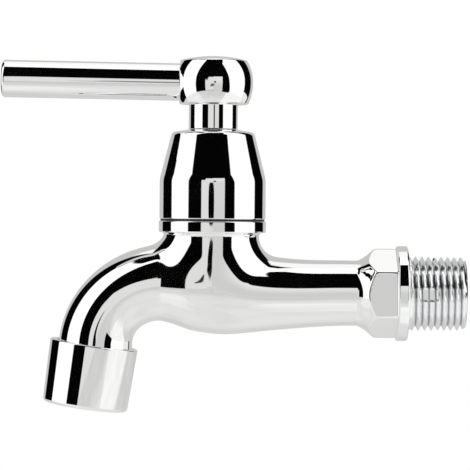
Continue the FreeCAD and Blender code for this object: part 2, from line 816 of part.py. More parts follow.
def make_rotating_disc():
    """The ceramic disc that the spindle turns: a bow tie that covers or frees the ports."""
    radius = s.disc_radius - s.disc_clearance
    body = new_body("rotating_disc")
    sketch = draw_circle(new_sketch(body, "disc_outline", "XY_Plane", rotating_disc_level), 0, 0, radius)
    pad(body, "disc", sketch, s.rotating_disc_thickness)
    notch = draw_outline(new_sketch(body, "notch_outline", "XY_Plane", rotating_disc_level),
                         sector(s.port_inner_radius, s.disc_radius + 1, s.port_half_angle, as_size(90)))
    pattern(body, "notches", pocket(body, "notch", notch, s.rotating_disc_thickness), 2)
    slot_depth = s.dog_height + s.seat_clearance
    slot_half = s.dog_width / 2 + s.seat_clearance
    slot_start = foot_radius - s.dog_length - s.seat_clearance
    slot = draw_outline(new_sketch(body, "slot_outline", "XY_Plane", foot_level - slot_depth),
                        rectangle(slot_start, radius + 1, -slot_half, slot_half))
    pattern(body, "dog_slots", pocket(body, "dog_slot", slot, slot_depth + 1), 2)
    return put(body, valve_x)


def make_bonnet_cap():
    """The chromed cap over the headpart: straight below, tapered above, with a low top."""
    hole_rim = cap_hole_radius + s.hub_neck_overlap
    shoulder_radius = s.cap_radius - s.cap_taper
    web_bottom = cap_level + s.cap_web_level
    web_top = hex_top + s.cap_thread_length + s.cap_web_relief
    web_bore = s.cap_thread_radius + s.thread_clearance
    upper_bore = s.cap_thread_radius - s.cap_web_relief
    roof = cap_shoulder_level - s.cap_roof_thickness
    body = new_body("bonnet_cap")
    solid = turn_solid(body, "outside", [
        (0, cap_level), (s.cap_radius, cap_level), (s.cap_radius, cap_side_top),
        (shoulder_radius, cap_shoulder_level), (hole_rim, cap_top), (0, cap_top),
    ])
    rounded = round_rims(body, "shoulder_round", solid, [(shoulder_radius, cap_shoulder_level)],
                         s.cap_shoulder_round)
    bevel_rims(body, "bottom_bevel", rounded, [(s.cap_radius, cap_level)], s.cap_edge)
    turn_solid(body, "inside", [
        (0, cap_level - 1), (gasket_inner_radius, cap_level - 1), (gasket_inner_radius, web_bottom),
        (web_bore, web_bottom), (web_bore, web_top), (upper_bore, web_top), (upper_bore, roof),
        (cap_hole_radius, roof), (cap_hole_radius, cap_top + 1), (0, cap_top + 1),
    ], "PartDesign::Groove")
    return put(body, valve_x)


def hub_casting():
    """The handle's neck and head as one turned piece with a splined socket."""
    rim_level = head_middle_level + root_of(s.head_radius * s.head_radius
                                              - s.head_rim_radius * s.head_rim_radius)
    dome_top = rim_level + s.head_dome_rise
    dome_radius = (s.head_rim_radius * s.head_rim_radius / s.head_dome_rise + s.head_dome_rise) / 2
    hub_bore_radius = s.spindle_radius + s.hub_bore_clearance
    socket_radius = s.spline_tip_radius + s.seat_clearance
    socket_top = spline_top + s.spline_end_gap
    body = new_body("hub_casting")
    solid = turn_solid(body, "outside", [
        (0, hub_level), (hub_neck_radius, hub_level), (hub_neck_radius, head_level),
        (s.head_bottom_radius, head_level, s.head_belly_radius),
        (s.head_radius, head_middle_level, s.head_radius),
        (s.head_rim_radius, rim_level, dome_radius), (0, dome_top),
    ])
    round_rims(body, "rim_round", solid, [(s.head_rim_radius, rim_level)], s.head_rim_round)
    turn_solid(body, "bore", [
        (0, hub_level - 1), (hub_bore_radius, hub_level - 1),
        (hub_bore_radius, hub_shoulder_level), (socket_radius, hub_shoulder_level),
        (socket_radius, socket_top), (0, socket_top),
    ], "PartDesign::Groove")
    tooth_tip = s.spline_tip_radius - s.spline_depth + 2 * s.seat_clearance
    tooth_half = spline_half_width() - 2 * s.seat_clearance
    tooth = draw_outline(new_sketch(body, "tooth_outline", "XY_Plane", hub_shoulder_level),
                         [(tooth_tip, 0), (socket_radius + 0.1, -tooth_half),
                          (socket_radius + 0.1, tooth_half)])
    pattern(body, "teeth", pad(body, "tooth", tooth, socket_top - hub_shoulder_level), s.spline_teeth)
    return put(body, valve_x)


def make_handle_hub():
    """The hub with its flat for the lever and the tapped hole that takes the lever's stud."""
    flat = cylinder("lever_flat_cut", s.head_radius + 3, 8)
    put(flat, valve_x - s.head_flat_distance * cosine_of(s.lever_rise), 0,
        lever_level + s.head_flat_distance * sine_of(s.lever_rise), s.lever_rise - 90)
    hole = cylinder("stud_hole", s.lever_stud_radius + s.thread_clearance / 2, s.head_radius + 2)
    put(hole, valve_x, 0, lever_level, s.lever_rise - 90)
    cuts = doc.addObject("Part::MultiFuse", "lever_cuts")
    cuts.Shapes = [flat, hole]
    hub = doc.addObject("Part::Cut", "handle_hub")
    hub.Base = hub_casting()
    hub.Tool = cuts
    hub.Label = "handle_hub"
    return hub


def make_lever_rod():
    """The round lever with the stud that clamps the hub to the spindle."""
    stud_start = s.spline_tip_radius + s.seat_clearance
    body = new_body("lever_rod")
    solid = turn_solid(body, "rod", [
        (0, stud_start), (s.lever_stud_radius - s.lever_stud_bevel, stud_start),
        (s.lever_stud_radius, stud_start + s.lever_stud_bevel),
        (s.lever_stud_radius, s.head_flat_distance), (s.lever_radius, s.head_flat_distance),
        (s.lever_radius, s.lever_reach), (0, s.lever_reach),
    ])
    round_rims(body, "end_round", solid, [(s.lever_radius, s.lever_reach)], s.lever_end_round)
    return put(body, valve_x, 0, lever_level, s.lever_rise - 90)


# Levels inside the nozzle, down the spout's own axis from its mouth.
spout_end = -(s.spout_relief_length + s.spout_thread_length)
aerator_top = spout_end - s.nozzle_washer_thickness
sleeve_top = -s.sleeve_top_gap
sleeve_bottom = sleeve_top - s.sleeve_length
lip_top = sleeve_bottom + s.sleeve_lip_thickness
plate_bottom = aerator_top - s.aerator_plate_thickness
screen_middle = plate_bottom - s.aerator_screen_thickness
screens_bottom = screen_middle - s.aerator_screen_thickness
sleeve_bore = s.spout_thread_radius + s.thread_clearance
sleeve_top_radius = sleeve_bore + s.sleeve_wall
sleeve_bottom_radius = sleeve_top_radius - s.sleeve_taper
aerator_radius = sleeve_bore - s.aerator_gap
aerator_inner = aerator_radius - s.aerator_wall
aerator_throat = aerator_inner - s.aerator_step
insert_radius = aerator_inner - s.seat_clearance


def at_mouth(target):
    return put(target, mouth_x, 0, mouth_z, mouth_turn)


def make_nozzle_sleeve():
    """The tapered sleeve that screws onto the spout and holds the aerator on its inner lip."""
    lip_radius = sleeve_bore - s.sleeve_lip_width
    body = new_body("nozzle_sleeve")
    solid = turn_solid(body, "sleeve", [
        (sleeve_bore, sleeve_top), (sleeve_bore, lip_top), (lip_radius, lip_top),
        (lip_radius, sleeve_bottom), (sleeve_bottom_radius, sleeve_bottom),
        (sleeve_top_radius, sleeve_top),
    ])
    rounded = round_rims(body, "bottom_round", solid, [(sleeve_bottom_radius, sleeve_bottom)],
                         s.sleeve_bottom_round)
    bevel_rims(body, "top_bevels", rounded, [(sleeve_top_radius, sleeve_top), (sleeve_bore, sleeve_top)],
               s.sleeve_top_edge)
    return at_mouth(body)


def make_aerator_body():
    """The aerator's plastic cup: a step for the plate and screens over a spoked outlet grille."""
    grille_top = lip_top + s.aerator_grille_depth
    body = new_body("aerator_body")
    turn_solid(body, "cup", [
        (aerator_throat, lip_top), (aerator_radius, lip_top), (aerator_radius, aerator_top),
        (aerator_inner, aerator_top), (aerator_inner, screens_bottom), (aerator_throat, screens_bottom),
    ])
    reach = aerator_throat + s.aerator_step / 2
    spoke = draw_outline(new_sketch(body, "spoke_outline", "XY_Plane", lip_top),
                         rectangle(-reach, reach, -s.aerator_rib / 2, s.aerator_rib / 2))
    pattern(body, "spokes", pad(body, "spoke", spoke, s.aerator_grille_depth), 3)
    for name, share in (("inner_ring", 0.33), ("outer_ring", 0.67)):
        middle = aerator_throat * share
        turn_solid(body, name, rectangle(middle - s.aerator_rib / 2, middle + s.aerator_rib / 2,
                                         lip_top, grille_top))
    return at_mouth(body)


def make_aerator_plate():
    """The disc with a ring of jets that mixes air into the water."""
    body = new_body("aerator_plate")
    sketch = draw_circle(new_sketch(body, "plate_outline", "XY_Plane", plate_bottom), 0, 0, insert_radius)
    pad(body, "plate", sketch, s.aerator_plate_thickness)
    hole = draw_circle(new_sketch(body, "hole_outline", "XY_Plane", plate_bottom),
                       s.plate_hole_ring, 0, s.plate_hole_radius)
    pattern(body, "holes", pocket(body, "hole", hole, s.aerator_plate_thickness), s.plate_hole_count)
    return at_mouth(body)


def make_aerator_screen(label, bottom):
    """One of the two thin screens under the plate."""
    body = new_body(label)
    sketch = draw_circle(new_sketch(body, "screen_outline", "XY_Plane", bottom), 0, 0, insert_radius)
    pad(body, "screen", sketch, s.aerator_screen_thickness)
    return at_mouth(body)


def make_pieces():
    """Every piece of the tap, each a separate solid under its own name."""
    return [
        make_tap_body(),
        make_cartridge_housing(),
        make_housing_oring(),
        put(make_flat_ring("seat_seal", s.disc_radius - s.seal_width, s.disc_radius, s.seat_level,
                           fixed_disc_level), valve_x),
        make_fixed_disc(),
        make_rotating_disc(),
        put(make_flat_ring("thrust_washer", s.spindle_radius + 3 * s.seat_clearance, foot_radius,
                           foot_top, washer_top), valve_x),
        make_spindle(),
        make_spindle_oring("spindle_oring_lower", lower_oring_level),
        make_spindle_oring("spindle_oring_upper", upper_oring_level),
        make_circlip(),
        put(make_flat_ring("bonnet_gasket", gasket_inner_radius, gasket_outer_radius, ring_top,
                           cap_level), valve_x),
        make_bonnet_cap(),
        make_handle_hub(),
        make_lever_rod(),
        make_nozzle_sleeve(),
        at_mouth(make_flat_ring("nozzle_washer", s.spout_bore_radius + s.nozzle_washer_step, aerator_radius,
                                aerator_top, spout_end)),
        make_aerator_body(),
        make_aerator_plate(),
        make_aerator_screen("aerator_screen_upper", screen_middle),
        make_aerator_screen("aerator_screen_lower", screens_bottom),
    ]


def check_document():
    """Stop if any object of the document failed to compute."""
    for item in doc.Objects:
        if "Invalid" in item.State or "Error" in item.State:
            raise RuntimeError(f"{item.Label} failed: {item.State}")


def check_piece(piece):
    """Stop if a piece is empty, broken or more than one solid."""
    shape = piece.Shape
    if shape.isNull() or not shape.isValid():
        raise RuntimeError(f"{piece.Label} has no valid shape")
    if len(shape.Solids) != 1:
        raise RuntimeError(f"{piece.Label} is {len(shape.Solids)} solids")


pieces = make_pieces()
doc.recompute()
check_document()
for piece in pieces:
    check_piece(piece)
os.makedirs("parts", exist_ok=True)
for piece in pieces:
    piece.Shape.exportStep(f"parts/{piece.Label}.step")
    print(f"{piece.Label}: {piece.Shape.Volume:.1f} mm3")
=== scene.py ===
from functools import partialmethod
from math import acos, asin, atan2, cos, pi, radians, sin, tan, tau
import bpy
import numpy as np
from mathutils import Matrix, Quaternion, Vector


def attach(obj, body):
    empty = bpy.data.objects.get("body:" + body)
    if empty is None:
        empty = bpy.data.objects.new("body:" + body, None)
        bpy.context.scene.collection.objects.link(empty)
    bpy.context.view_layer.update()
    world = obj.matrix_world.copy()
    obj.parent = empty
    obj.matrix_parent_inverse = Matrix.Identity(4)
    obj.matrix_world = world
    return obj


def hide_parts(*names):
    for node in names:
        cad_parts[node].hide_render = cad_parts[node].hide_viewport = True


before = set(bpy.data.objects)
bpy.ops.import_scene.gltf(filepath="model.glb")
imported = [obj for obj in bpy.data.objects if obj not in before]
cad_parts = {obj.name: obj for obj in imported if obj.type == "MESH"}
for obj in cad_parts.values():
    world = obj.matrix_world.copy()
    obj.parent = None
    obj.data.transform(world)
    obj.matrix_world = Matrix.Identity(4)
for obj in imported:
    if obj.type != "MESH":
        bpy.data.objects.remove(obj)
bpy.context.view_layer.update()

# Shapes are worked out in millimetres and written in metres. X points into the wall, Z up,
# and the origin is the middle of the collar's face that meets the wall.
METRES = 0.001

VALVE_X = -55.0
NECK_RADIUS = 13.1
RING_RADIUS = 15.09
RING_BOTTOM = 16.75
RING_TOP = 20.0
BORE_RADIUS = 6.5
BEND_X = -69.75
BEND_Z = -16.63
BEND_RADIUS = 18.38
BEND_ANGLE = radians(82.0)
SPOUT_RADIUS = 9.95
SPOUT_SWELLING = 0.8
SPOUT_FLARE = 0.36
THREAD_RADIUS = 10.48
THREAD_PITCH = 1.814
THREAD_DEPTH = 1.4
INLET_END = 16.3
TIP_END = -9.5
SLEEVE_TOP = -0.8
SLEEVE_END = -18.6
COLLAR_RADIUS = 13.36
HEXAGON_HALF_WIDTH = 11.0
LEVER_RISE = radians(0.7)
LEVER_LEVEL = 58.9
LEVER_REACH = 59.6
LEVER_RADIUS = 5.25
STUD_RADIUS = 3.0
FLAT_DISTANCE = 9.5
CAP_BOTTOM = 20.5
CAP_TOP = 45.7
CAP_RADIUS = 14.93
HUB_BOTTOM = 45.82
HUB_RADIUS = 6.9
SOCKET_RADIUS = 5.2
HEAD_BOTTOM = 52.8
HEAD_FOOT = 9.7
HEAD_MIDDLE = 59.2
HEAD_RADIUS = 11.13
BELLY_RADIUS = 13.5
HEAD_BROW = 9.4
HEAD_CROWN = 1.2
HEAD_TOP = 66.35


# Places of the turned pieces: each is turned about its own Z axis and then set here.
def placed(x, y, z, turn):
    return Matrix.Translation((x, y, z)) @ Matrix.Rotation(turn, 4, "Y")


VALVE_AXIS = placed(VALVE_X, 0, 0, 0)
INLET_AXIS = placed(0, 0, 0, radians(90))
LEVER_AXIS = placed(VALVE_X, 0, LEVER_LEVEL, LEVER_RISE - radians(90))
MOUTH_AXIS = placed(BEND_X - BEND_RADIUS * sin(BEND_ANGLE), 0,
                    BEND_Z + BEND_RADIUS * cos(BEND_ANGLE), radians(90) - BEND_ANGLE)


# ---- Node building ----
OVAL_EDGE = (0.75, 1.15)


class Wiring:
    """Adds nodes to a tree and wires them from plain values or sockets."""

    def __init__(self, tree):
        self.tree = tree

    def node(self, kind, wires=None, **settings):
        made = self.tree.nodes.new(kind)
        for name, value in settings.items():
            setattr(made, name, value)
        for name, value in (wires or {}).items():
            self.feed(made.inputs[name], value)
        return made

    def feed(self, socket, value):
        if isinstance(value, bpy.types.NodeSocket):
            self.tree.links.new(value, socket)
        else:
            socket.default_value = value

    def first(self, kind, wires=None, **settings):
        return self.node(kind, wires, **settings).outputs[0]

    def math(self, operation, *values):
        made = self.node("ShaderNodeMath", operation=operation)
        for socket, value in zip(made.inputs, values):
            self.feed(socket, value)
        return made.outputs[0]

    times = partialmethod(math, "MULTIPLY")
    plus = partialmethod(math, "ADD")
    minus = partialmethod(math, "SUBTRACT")
    over = partialmethod(math, "DIVIDE")
    size = partialmethod(math, "ABSOLUTE")

    def distance(self, x, y):
        return self.math("SQRT", self.plus(self.times(x, x), self.times(y, y)))

    def place(self):
        """The shaded point, in the object's own coordinates."""
        return self.node("ShaderNodeTexCoord").outputs["Object"]

    def split(self, vector):
        return self.node("ShaderNodeSeparateXYZ", {"Vector": vector}).outputs

    def join(self, x=0.0, y=0.0, z=0.0):
        return self.first("ShaderNodeCombineXYZ", {"X": x, "Y": y, "Z": z})

    def ramp(self, value, low, high, to_low=0.0, to_high=1.0, smooth=True):
        """Value mapped from low..high to to_low..to_high, held at both ends."""
        kind = "SMOOTHSTEP" if smooth else "LINEAR"
        return self.first("ShaderNodeMapRange", {
            "Value": value, "From Min": low, "From Max": high, "To Min": to_low, "To Max": to_high,
        }, interpolation_type=kind)

    def oval(self, across, up, middle, level, half_width, half_height, power):
        """One inside a squarish oval and zero outside."""
        away = []
        for value, centre, half in ((across, middle, half_width), (up, level, half_height)):
            share = self.size(self.over(self.minus(value, centre), half))
            away.append(self.math("POWER", share, power))
        return self.ramp(self.plus(*away), *OVAL_EDGE, 1.0, 0.0)

    def band(self, value, low, high, soft):
        """One between low and high, with soft edges."""
        rise = self.ramp(value, low - soft, low + soft)
        fall = self.ramp(value, high - soft, high + soft, 1.0, 0.0)
        return self.times(rise, fall)


def new_group(name, kind, inputs, outputs):
    """A node group with inputs (name, default number or socket type) and outputs (name, type)."""
    group = bpy.data.node_groups.new(name, kind)
    for label, value in inputs:
        number = isinstance(value, float)
        socket = group.interface.new_socket(
            label, in_out="INPUT", socket_type="NodeSocketFloat" if number else value)
        if number:
            socket.default_value = value
    for label, socket_type in outputs:
        group.interface.new_socket(label, in_out="OUTPUT", socket_type=socket_type)
    wiring = Wiring(group)
    given, result = wiring.node("NodeGroupInput"), wiring.node("NodeGroupOutput")
    return group, wiring, given.outputs, result.inputs


# ---- Shared surface effects ----
def new_effect(name, inputs):
    """A shader group that gives roughness, tint (one is clean) and height in millimetres."""
    outputs = [(label, "NodeSocketFloat") for label in ("Roughness", "Tint", "Height")]
    return new_group(name, "ShaderNodeTree", inputs, outputs)


def noise(w, place, scale, detail=2.0, distortion=0.0):
    return w.first("ShaderNodeTexNoise", {
        "Vector": place, "Scale": scale, "Detail": detail, "Distortion": distortion})


def make_plating_group():
    """Chrome plating: faint waves of the polished casting under it, hairlines and smudges."""
    group, w, given, result = new_effect(
        "plating_marks", [("Base Roughness", 0.03), ("Wave Height", 1.0), ("Smudges", 1.0)])
    place = w.place()
    long_waves = noise(w, place, 95.0, 1.0)
    short_waves = noise(w, place, 420.0, 1.0)
    grain = noise(w, place, 5200.0, 1.0)
    smudge = w.ramp(noise(w, place, 70.0, 4.0, 0.6), 0.52, 0.72)
    turned = w.first("ShaderNodeMapping", {
        "Vector": place, "Rotation": (0.4, 0.9, 0.3), "Scale": (2400.0, 260.0, 2400.0)})
    cells = w.first("ShaderNodeTexVoronoi", {"Vector": turned, "Scale": 1.0},
                    feature="DISTANCE_TO_EDGE")
    hairline = w.ramp(cells, 0.0, 0.02, 1.0, 0.0)
    hairline = w.times(hairline, w.ramp(noise(w, place, 160.0), 0.55, 0.7))
    marked = w.plus(w.times(smudge, 0.035), w.times(hairline, 0.03))
    marked = w.times(marked, given["Smudges"])
    rough = w.plus(given["Base Roughness"], marked)
    w.feed(result["Roughness"], w.plus(rough, w.times(grain, 0.008)))
    w.feed(result["Tint"], w.minus(1.0, w.times(marked, 0.5)))
    waves = w.plus(w.times(long_waves, 0.018), w.times(short_waves, 0.0011))
    waves = w.times(waves, given["Wave Height"])
    w.feed(result["Height"], w.plus(waves, w.times(hairline, -0.00004)))
    return group


def make_turning_group():
    """Fine rings that a lathe leaves round an upright axis at the given X."""
    group, w, given, result = new_effect(
        "turning_marks", [("Axis X", 0.0), ("Rings per Metre", 9000.0), ("Base Roughness", 0.25)])
    place = w.place()
    x, y, z = w.split(place)
    radius = w.distance(w.minus(x, given["Axis X"]), y)
    phase = w.times(w.plus(radius, z), given["Rings per Metre"])
    phase = w.plus(phase, noise(w, place, 300.0))
    rings = w.math("SINE", w.times(phase, tau))
    stain = w.ramp(noise(w, place, 180.0, 5.0, 0.4), 0.4, 0.75)
    w.feed(result["Roughness"], w.plus(given["Base Roughness"], w.times(stain, 0.16)))
    w.feed(result["Tint"], w.minus(1.0, w.times(stain, 0.22)))
    w.feed(result["Height"], w.times(rings, 0.0012))
    return group


def make_moulding_group():
    """Moulded rubber, plastic or fired ceramic: a fine skin texture, mottling and dust."""
    group, w, given, result = new_effect(
        "moulded_skin", [("Grain Scale", 3000.0), ("Grain Height", 0.004),
                         ("Base Roughness", 0.5), ("Mottle", 0.1)])
    place = w.place()
    grain = noise(w, place, given["Grain Scale"], 3.0)
    patches = noise(w, place, 240.0, 4.0)
    w.feed(result["Roughness"], w.plus(given["Base Roughness"], w.times(patches, 0.12)))
    w.feed(result["Tint"], w.minus(1.0, w.times(patches, given["Mottle"])))
    w.feed(result["Height"], w.times(grain, given["Grain Height"]))
    return group


plating_marks = make_plating_group()
turning_marks = make_turning_group()
moulded_skin = make_moulding_group()


# The mesh attribute that says how deep a thread's groove is, from zero to one; the thread's finish
# darkens its colour there as painted shade.
GROOVE_DEPTH = "groove_depth"


def new_finish(name, group, values, dark, light, metallic=0.0, specular=0.5, painted_shade=None):
    """A material whose colour, roughness and relief come from one effect group.

    The last argument names a mesh attribute, from zero to one, where the colour is darkened as
    painted shade, as in a thread's roots.
    """
    material = bpy.data.materials.new(name)
    material.use_nodes = True
    w = Wiring(material.node_tree)
    shader = material.node_tree.nodes["Principled BSDF"]
    effect = w.node("ShaderNodeGroup", values, node_tree=group).outputs
    tint = effect["Tint"]
    if painted_shade:
        # Painted shade: the colour goes to the dark end where the named attribute is high.
        depth = w.node("ShaderNodeAttribute", attribute_name=painted_shade).outputs["Fac"]
        tint = w.times(tint, w.ramp(depth, 0.7, 1.0, 1.0, 0.0))
    colour = w.node("ShaderNodeMix", {0: tint, 6: (*dark, 1.0), 7: (*light, 1.0)},
                    data_type="RGBA")
    bump = w.first("ShaderNodeBump", {
        "Height": effect["Height"], "Strength": 1.0, "Distance": METRES})
    looks = {"Base Color": colour.outputs[2], "Roughness": effect["Roughness"], "Normal": bump,
             "Metallic": metallic, "Specular IOR Level": specular}
    for label, value in looks.items():
        w.feed(shader.inputs[label], value)
    return material


# Each finish: its material's name and the other arguments of new_finish, in order.
CHROME_COLOURS = (0.60, 0.61, 0.62), (0.945, 0.95, 0.955)
TURNED_AXIS = VALVE_X * METRES
FINISHES = {
    "chrome": (
        "polished_chrome", plating_marks,
        {"Base Roughness": 0.022, "Wave Height": 1.0, "Smudges": 1.0},
        *CHROME_COLOURS, 1.0),
    "chrome_turned": (
        "turned_chrome", plating_marks,
        {"Base Roughness": 0.018, "Wave Height": 0.35, "Smudges": 0.8},
        *CHROME_COLOURS, 1.0),
    # The thread's finish paints shade into its grooves' roots from the groove depth attribute.
    "chrome_thread": (
        "thread_chrome", plating_marks,
        {"Base Roughness": 0.14, "Wave Height": 1.4, "Smudges": 1.5},
        (0.52, 0.53, 0.54), (0.955, 0.96, 0.965), 1.0, 0.5, GROOVE_DEPTH),
    "brass": (
        "turned_brass", turning_marks,
        {"Axis X": TURNED_AXIS, "Rings per Metre": 5200.0, "Base Roughness": 0.2},
        (0.42, 0.26, 0.09), (0.80, 0.60, 0.27), 1.0),
    "steel": (
        "spring_steel", turning_marks,
        {"Axis X": TURNED_AXIS, "Rings per Metre": 9000.0, "Base Roughness": 0.28},
        (0.34, 0.34, 0.35), (0.66, 0.66, 0.65), 1.0),
    "rubber": (
        "black_rubber", moulded_skin,
        {"Grain Scale": 4200.0, "Grain Height": 0.010, "Base Roughness": 0.52, "Mottle": 0.5},
        (0.045, 0.043, 0.042), (0.014, 0.014, 0.015), 0.0, 0.35),
    "ceramic": (
        "lapped_ceramic", moulded_skin,
        {"Grain Scale": 6500.0, "Grain Height": 0.0012, "Base Roughness": 0.12, "Mottle": 0.25},
        (0.72, 0.68, 0.60), (0.90, 0.88, 0.84)),
    "plastic": (
        "moulded_plastic", moulded_skin,
        {"Grain Scale": 2600.0, "Grain Height": 0.004, "Base Roughness": 0.34, "Mottle": 0.2},
        (0.70, 0.71, 0.70), (0.84, 0.85, 0.84)),
}
finishes = {label: new_finish(*row) for label, row in FINISHES.items()}


# ---- Meshes ----
def write_mesh(name, points, loops, sizes, normals=None):
    """A smooth mesh from millimetre points, corner lists and face sizes."""
    mesh = bpy.data.meshes.new(name)
    mesh.vertices.add(len(points))
    mesh.vertices.foreach_set("co", (points * METRES).astype(np.float32).ravel())
    mesh.loops.add(len(loops))
    mesh.loops.foreach_set("vertex_index", loops.astype(np.int32))
    mesh.polygons.add(len(sizes))
    starts = np.concatenate(([0], np.cumsum(sizes)[:-1]))
    mesh.polygons.foreach_set("loop_start", starts.astype(np.int32))
    mesh.polygons.foreach_set("use_smooth", np.ones(len(sizes), bool))
    mesh.update(calc_edges=True)
    mesh.validate()
    if normals is not None:
        mesh.normals_split_custom_set_from_vertices(normals.tolist())
    return mesh


def new_object(name, data):
    made = bpy.data.objects.new(name, data)
    bpy.context.scene.collection.objects.link(made)
    return made


def add_piece(name, mesh, finish, body, slot, *stands_for):
    """Show a finished mesh as one piece of the tap."""
    mesh.materials.clear()
    mesh.materials.append(finishes[finish])
    piece = new_object(name, mesh)
    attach(piece, body)
    if stands_for:
        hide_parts(*stands_for)


def rounded(corners, closed, steps):
    """Points of an outline of (radius, level) or (radius, level, rounding) corners."""
    outline = []
    count = len(corners)
    for index, corner in enumerate(corners):
        here = np.array(corner[:2], float)
        size = corner[2] if len(corner) > 2 else 0.0
        if size == 0 or (not closed and index in (0, count - 1)):
            outline.append(here)
            continue
        before = np.array(corners[index - 1][:2], float) - here
        after = np.array(corners[(index + 1) % count][:2], float) - here
        before /= np.linalg.norm(before)
        after /= np.linalg.norm(after)
        half = acos(float(np.clip(before @ after, -1, 1))) / 2
        reach = size / tan(half)
        middle = here + (before + after) / np.linalg.norm(before + after) * size / sin(half)
        first = here + before * reach - middle
        last = here + after * reach - middle
        sweep = atan2(first[0] * last[1] - first[1] * last[0], first @ last)
        for step in range(steps + 1):
            turn = sweep * step / steps
            cosine, sine = cos(turn), sin(turn)
            outline.append(middle + (first[0] * cosine - first[1] * sine,
                                     first[0] * sine + first[1] * cosine))
    return np.array(outline)


def unit(vectors):
    """Vectors of length one in the same directions."""
    return vectors / np.maximum(np.linalg.norm(vectors, axis=-1, keepdims=True), 1e-9)


def outline_normals(outline, closed):
    """Outward normals, along the axis at poles and ruled by the longer of two sides elsewhere."""
    ahead = np.roll(outline, -1, axis=0) - outline
    if not closed:
        ahead[-1] = 0
    weight = np.linalg.norm(ahead, axis=1, keepdims=True)
    side = np.stack([ahead[:, 1], -ahead[:, 0]], axis=1) * weight
    summed = side + np.roll(side, 1, axis=0)
    summed[outline[:, 0] < 1e-9, 0] = 0
    return unit(summed)


def grid_quads(rows, columns, closed=True):
    """Quads of a grid whose columns meet round the axis, and whose rows meet too if closed."""
    row = np.arange(rows if closed else rows - 1)
    here, there = np.meshgrid(row, np.arange(columns), indexing="ij")
    above, beside = (here + 1) % rows, (there + 1) % columns
    return np.stack([here * columns + there, here * columns + beside,
                     above * columns + beside, above * columns + there], axis=-1).reshape(-1, 4)


def turned_mesh(name, outline, place, closed=True, sides=144, cut=None):
    """Turn an outline of (radius, level) points about the local Z axis of a place."""
    outline = np.asarray(outline, float)
    following = np.roll(outline, -1, axis=0)
    if np.sum(outline[:, 0] * following[:, 1] - following[:, 0] * outline[:, 1]) < 0:
        outline = outline[::-1]
    profile_normals = outline_normals(outline, closed)
    angles = np.arange(sides) * tau / sides
    ring = np.stack([np.cos(angles), np.sin(angles), np.zeros(sides)], axis=1)
    rise = np.array([0.0, 0.0, 1.0])
    points = outline[:, None, :1] * ring + outline[:, None, 1:] * rise
    normals = profile_normals[:, None, :1] * ring + profile_normals[:, None, 1:] * rise
    if cut:
        points, normals = cut(points, normals)
    return place_mesh(name, points.reshape(-1, 3), grid_quads(len(outline), sides, closed),
                      normals.reshape(-1, 3), place)


def place_mesh(name, points, quads, normals, place):
    """Move points and normals to their place, and close doubled points at poles."""
    matrix = np.array(place)
    points = points @ matrix[:3, :3].T + matrix[:3, 3]
    normals = normals @ matrix[:3, :3].T
    keys = np.round(points * 1e5).astype(np.int64)
    _, first, index = np.unique(keys, axis=0, return_index=True, return_inverse=True)
    index = index.reshape(-1)
    points, normals = points[first], normals[first]
    quads = index[quads]
    following = np.roll(quads, -1, axis=1)
    keep = quads != following
    full = keep.all(axis=1)
    order = np.argsort(~full, kind="stable")
    quads, keep = quads[order], keep[order]
    sizes = keep.sum(axis=1)
    valid = sizes >= 3
    quads, keep, sizes = quads[valid], keep[valid], sizes[valid]
    return write_mesh(name, points, quads[keep], sizes, normals)


def add_turned(name, corners, place, body, node, steps=8, closed=True, **options):
    """Turn an outline of corners into a chromed piece that stands for a node or a part of it."""
    mesh = turned_mesh(name, rounded(corners, closed, steps), place, closed, **options)
    add_piece(name, mesh, "chrome_turned", body, "chrome", node)


# ---- The casting ----
def clamped_spline(knots, values, first_slope, last_slope):
    """A twice smooth curve through points, with the slopes at both ends given."""
    knots, values = np.asarray(knots, float), np.asarray(values, float)
    gaps = np.diff(knots)
    slopes = np.diff(values) / gaps
    count = len(knots)
    system = np.zeros((count, count))
    known = np.zeros(count)
    system[0, 0] = system[-1, -1] = 1
    known[0], known[-1] = first_slope, last_slope
    for k in range(1, count - 1):
        system[k, k - 1] = gaps[k]
        system[k, k] = 2 * (gaps[k - 1] + gaps[k])
        system[k, k + 1] = gaps[k - 1]
        known[k] = 3 * (gaps[k] * slopes[k - 1] + gaps[k - 1] * slopes[k])
    tangents = np.linalg.solve(system, known)

    def curve(x):
        x = np.clip(x, knots[0], knots[-1])
        k = np.clip(np.searchsorted(knots, x) - 1, 0, count - 2)
        t = (x - knots[k]) / gaps[k]
        return ((1 + 2 * t) * (1 - t) ** 2 * values[k] + t * t * (3 - 2 * t) * values[k + 1]
                + t * (1 - t) * gaps[k] * ((1 - t) * tangents[k] - t * tangents[k + 1]))

    return curve


# Sections of the tube and bulb: X, bottom, top and half width.
TUBE_SECTIONS = [
    (-69.75, -8.20, 13.30, 10.75),
    (-68.0, -8.50, 13.45, 11.08),
    (-66.0, -9.05, 13.90, 11.58),
    (-62.0, -10.45, 15.20, 12.50),
    (-57.0, -11.45, 16.40, 12.75),
    (-52.0, -11.88, 15.60, 12.75),
    (-46.0, -11.52, 12.60, 12.25),
    (-40.0, -10.86, 10.55, 11.30),
    (-34.0, -10.27, 9.66, 10.38),
    (-28.0, -9.75, 9.28, 9.72),
    (-20.0, -9.27, 9.20, 9.25),
    (-12.0, -9.12, 9.16, 9.15),
]
ROOT_ROUNDING = 1.1
BLEND_POWER = 2.3
FAR_OUT = 9.0
CASTING_BOX = ((-99.5, -14.6, -18.6), (-7.0, 14.6, 19.4))
SKIN_CELL = 0.45
SWELL_SLOPE = 3 * SPOUT_SWELLING / BEND_ANGLE / (BEND_RADIUS + SPOUT_SWELLING)
section_x, bottoms, tops, half_widths = np.array(TUBE_SECTIONS).T
tube_middle = clamped_spline(section_x, (bottoms + tops) / 2, SWELL_SLOPE, 0)
tube_height = clamped_spline(section_x, (tops - bottoms) / 2, SWELL_SLOPE, 0)
tube_width = clamped_spline(section_x, half_widths, SWELL_SLOPE, 0)


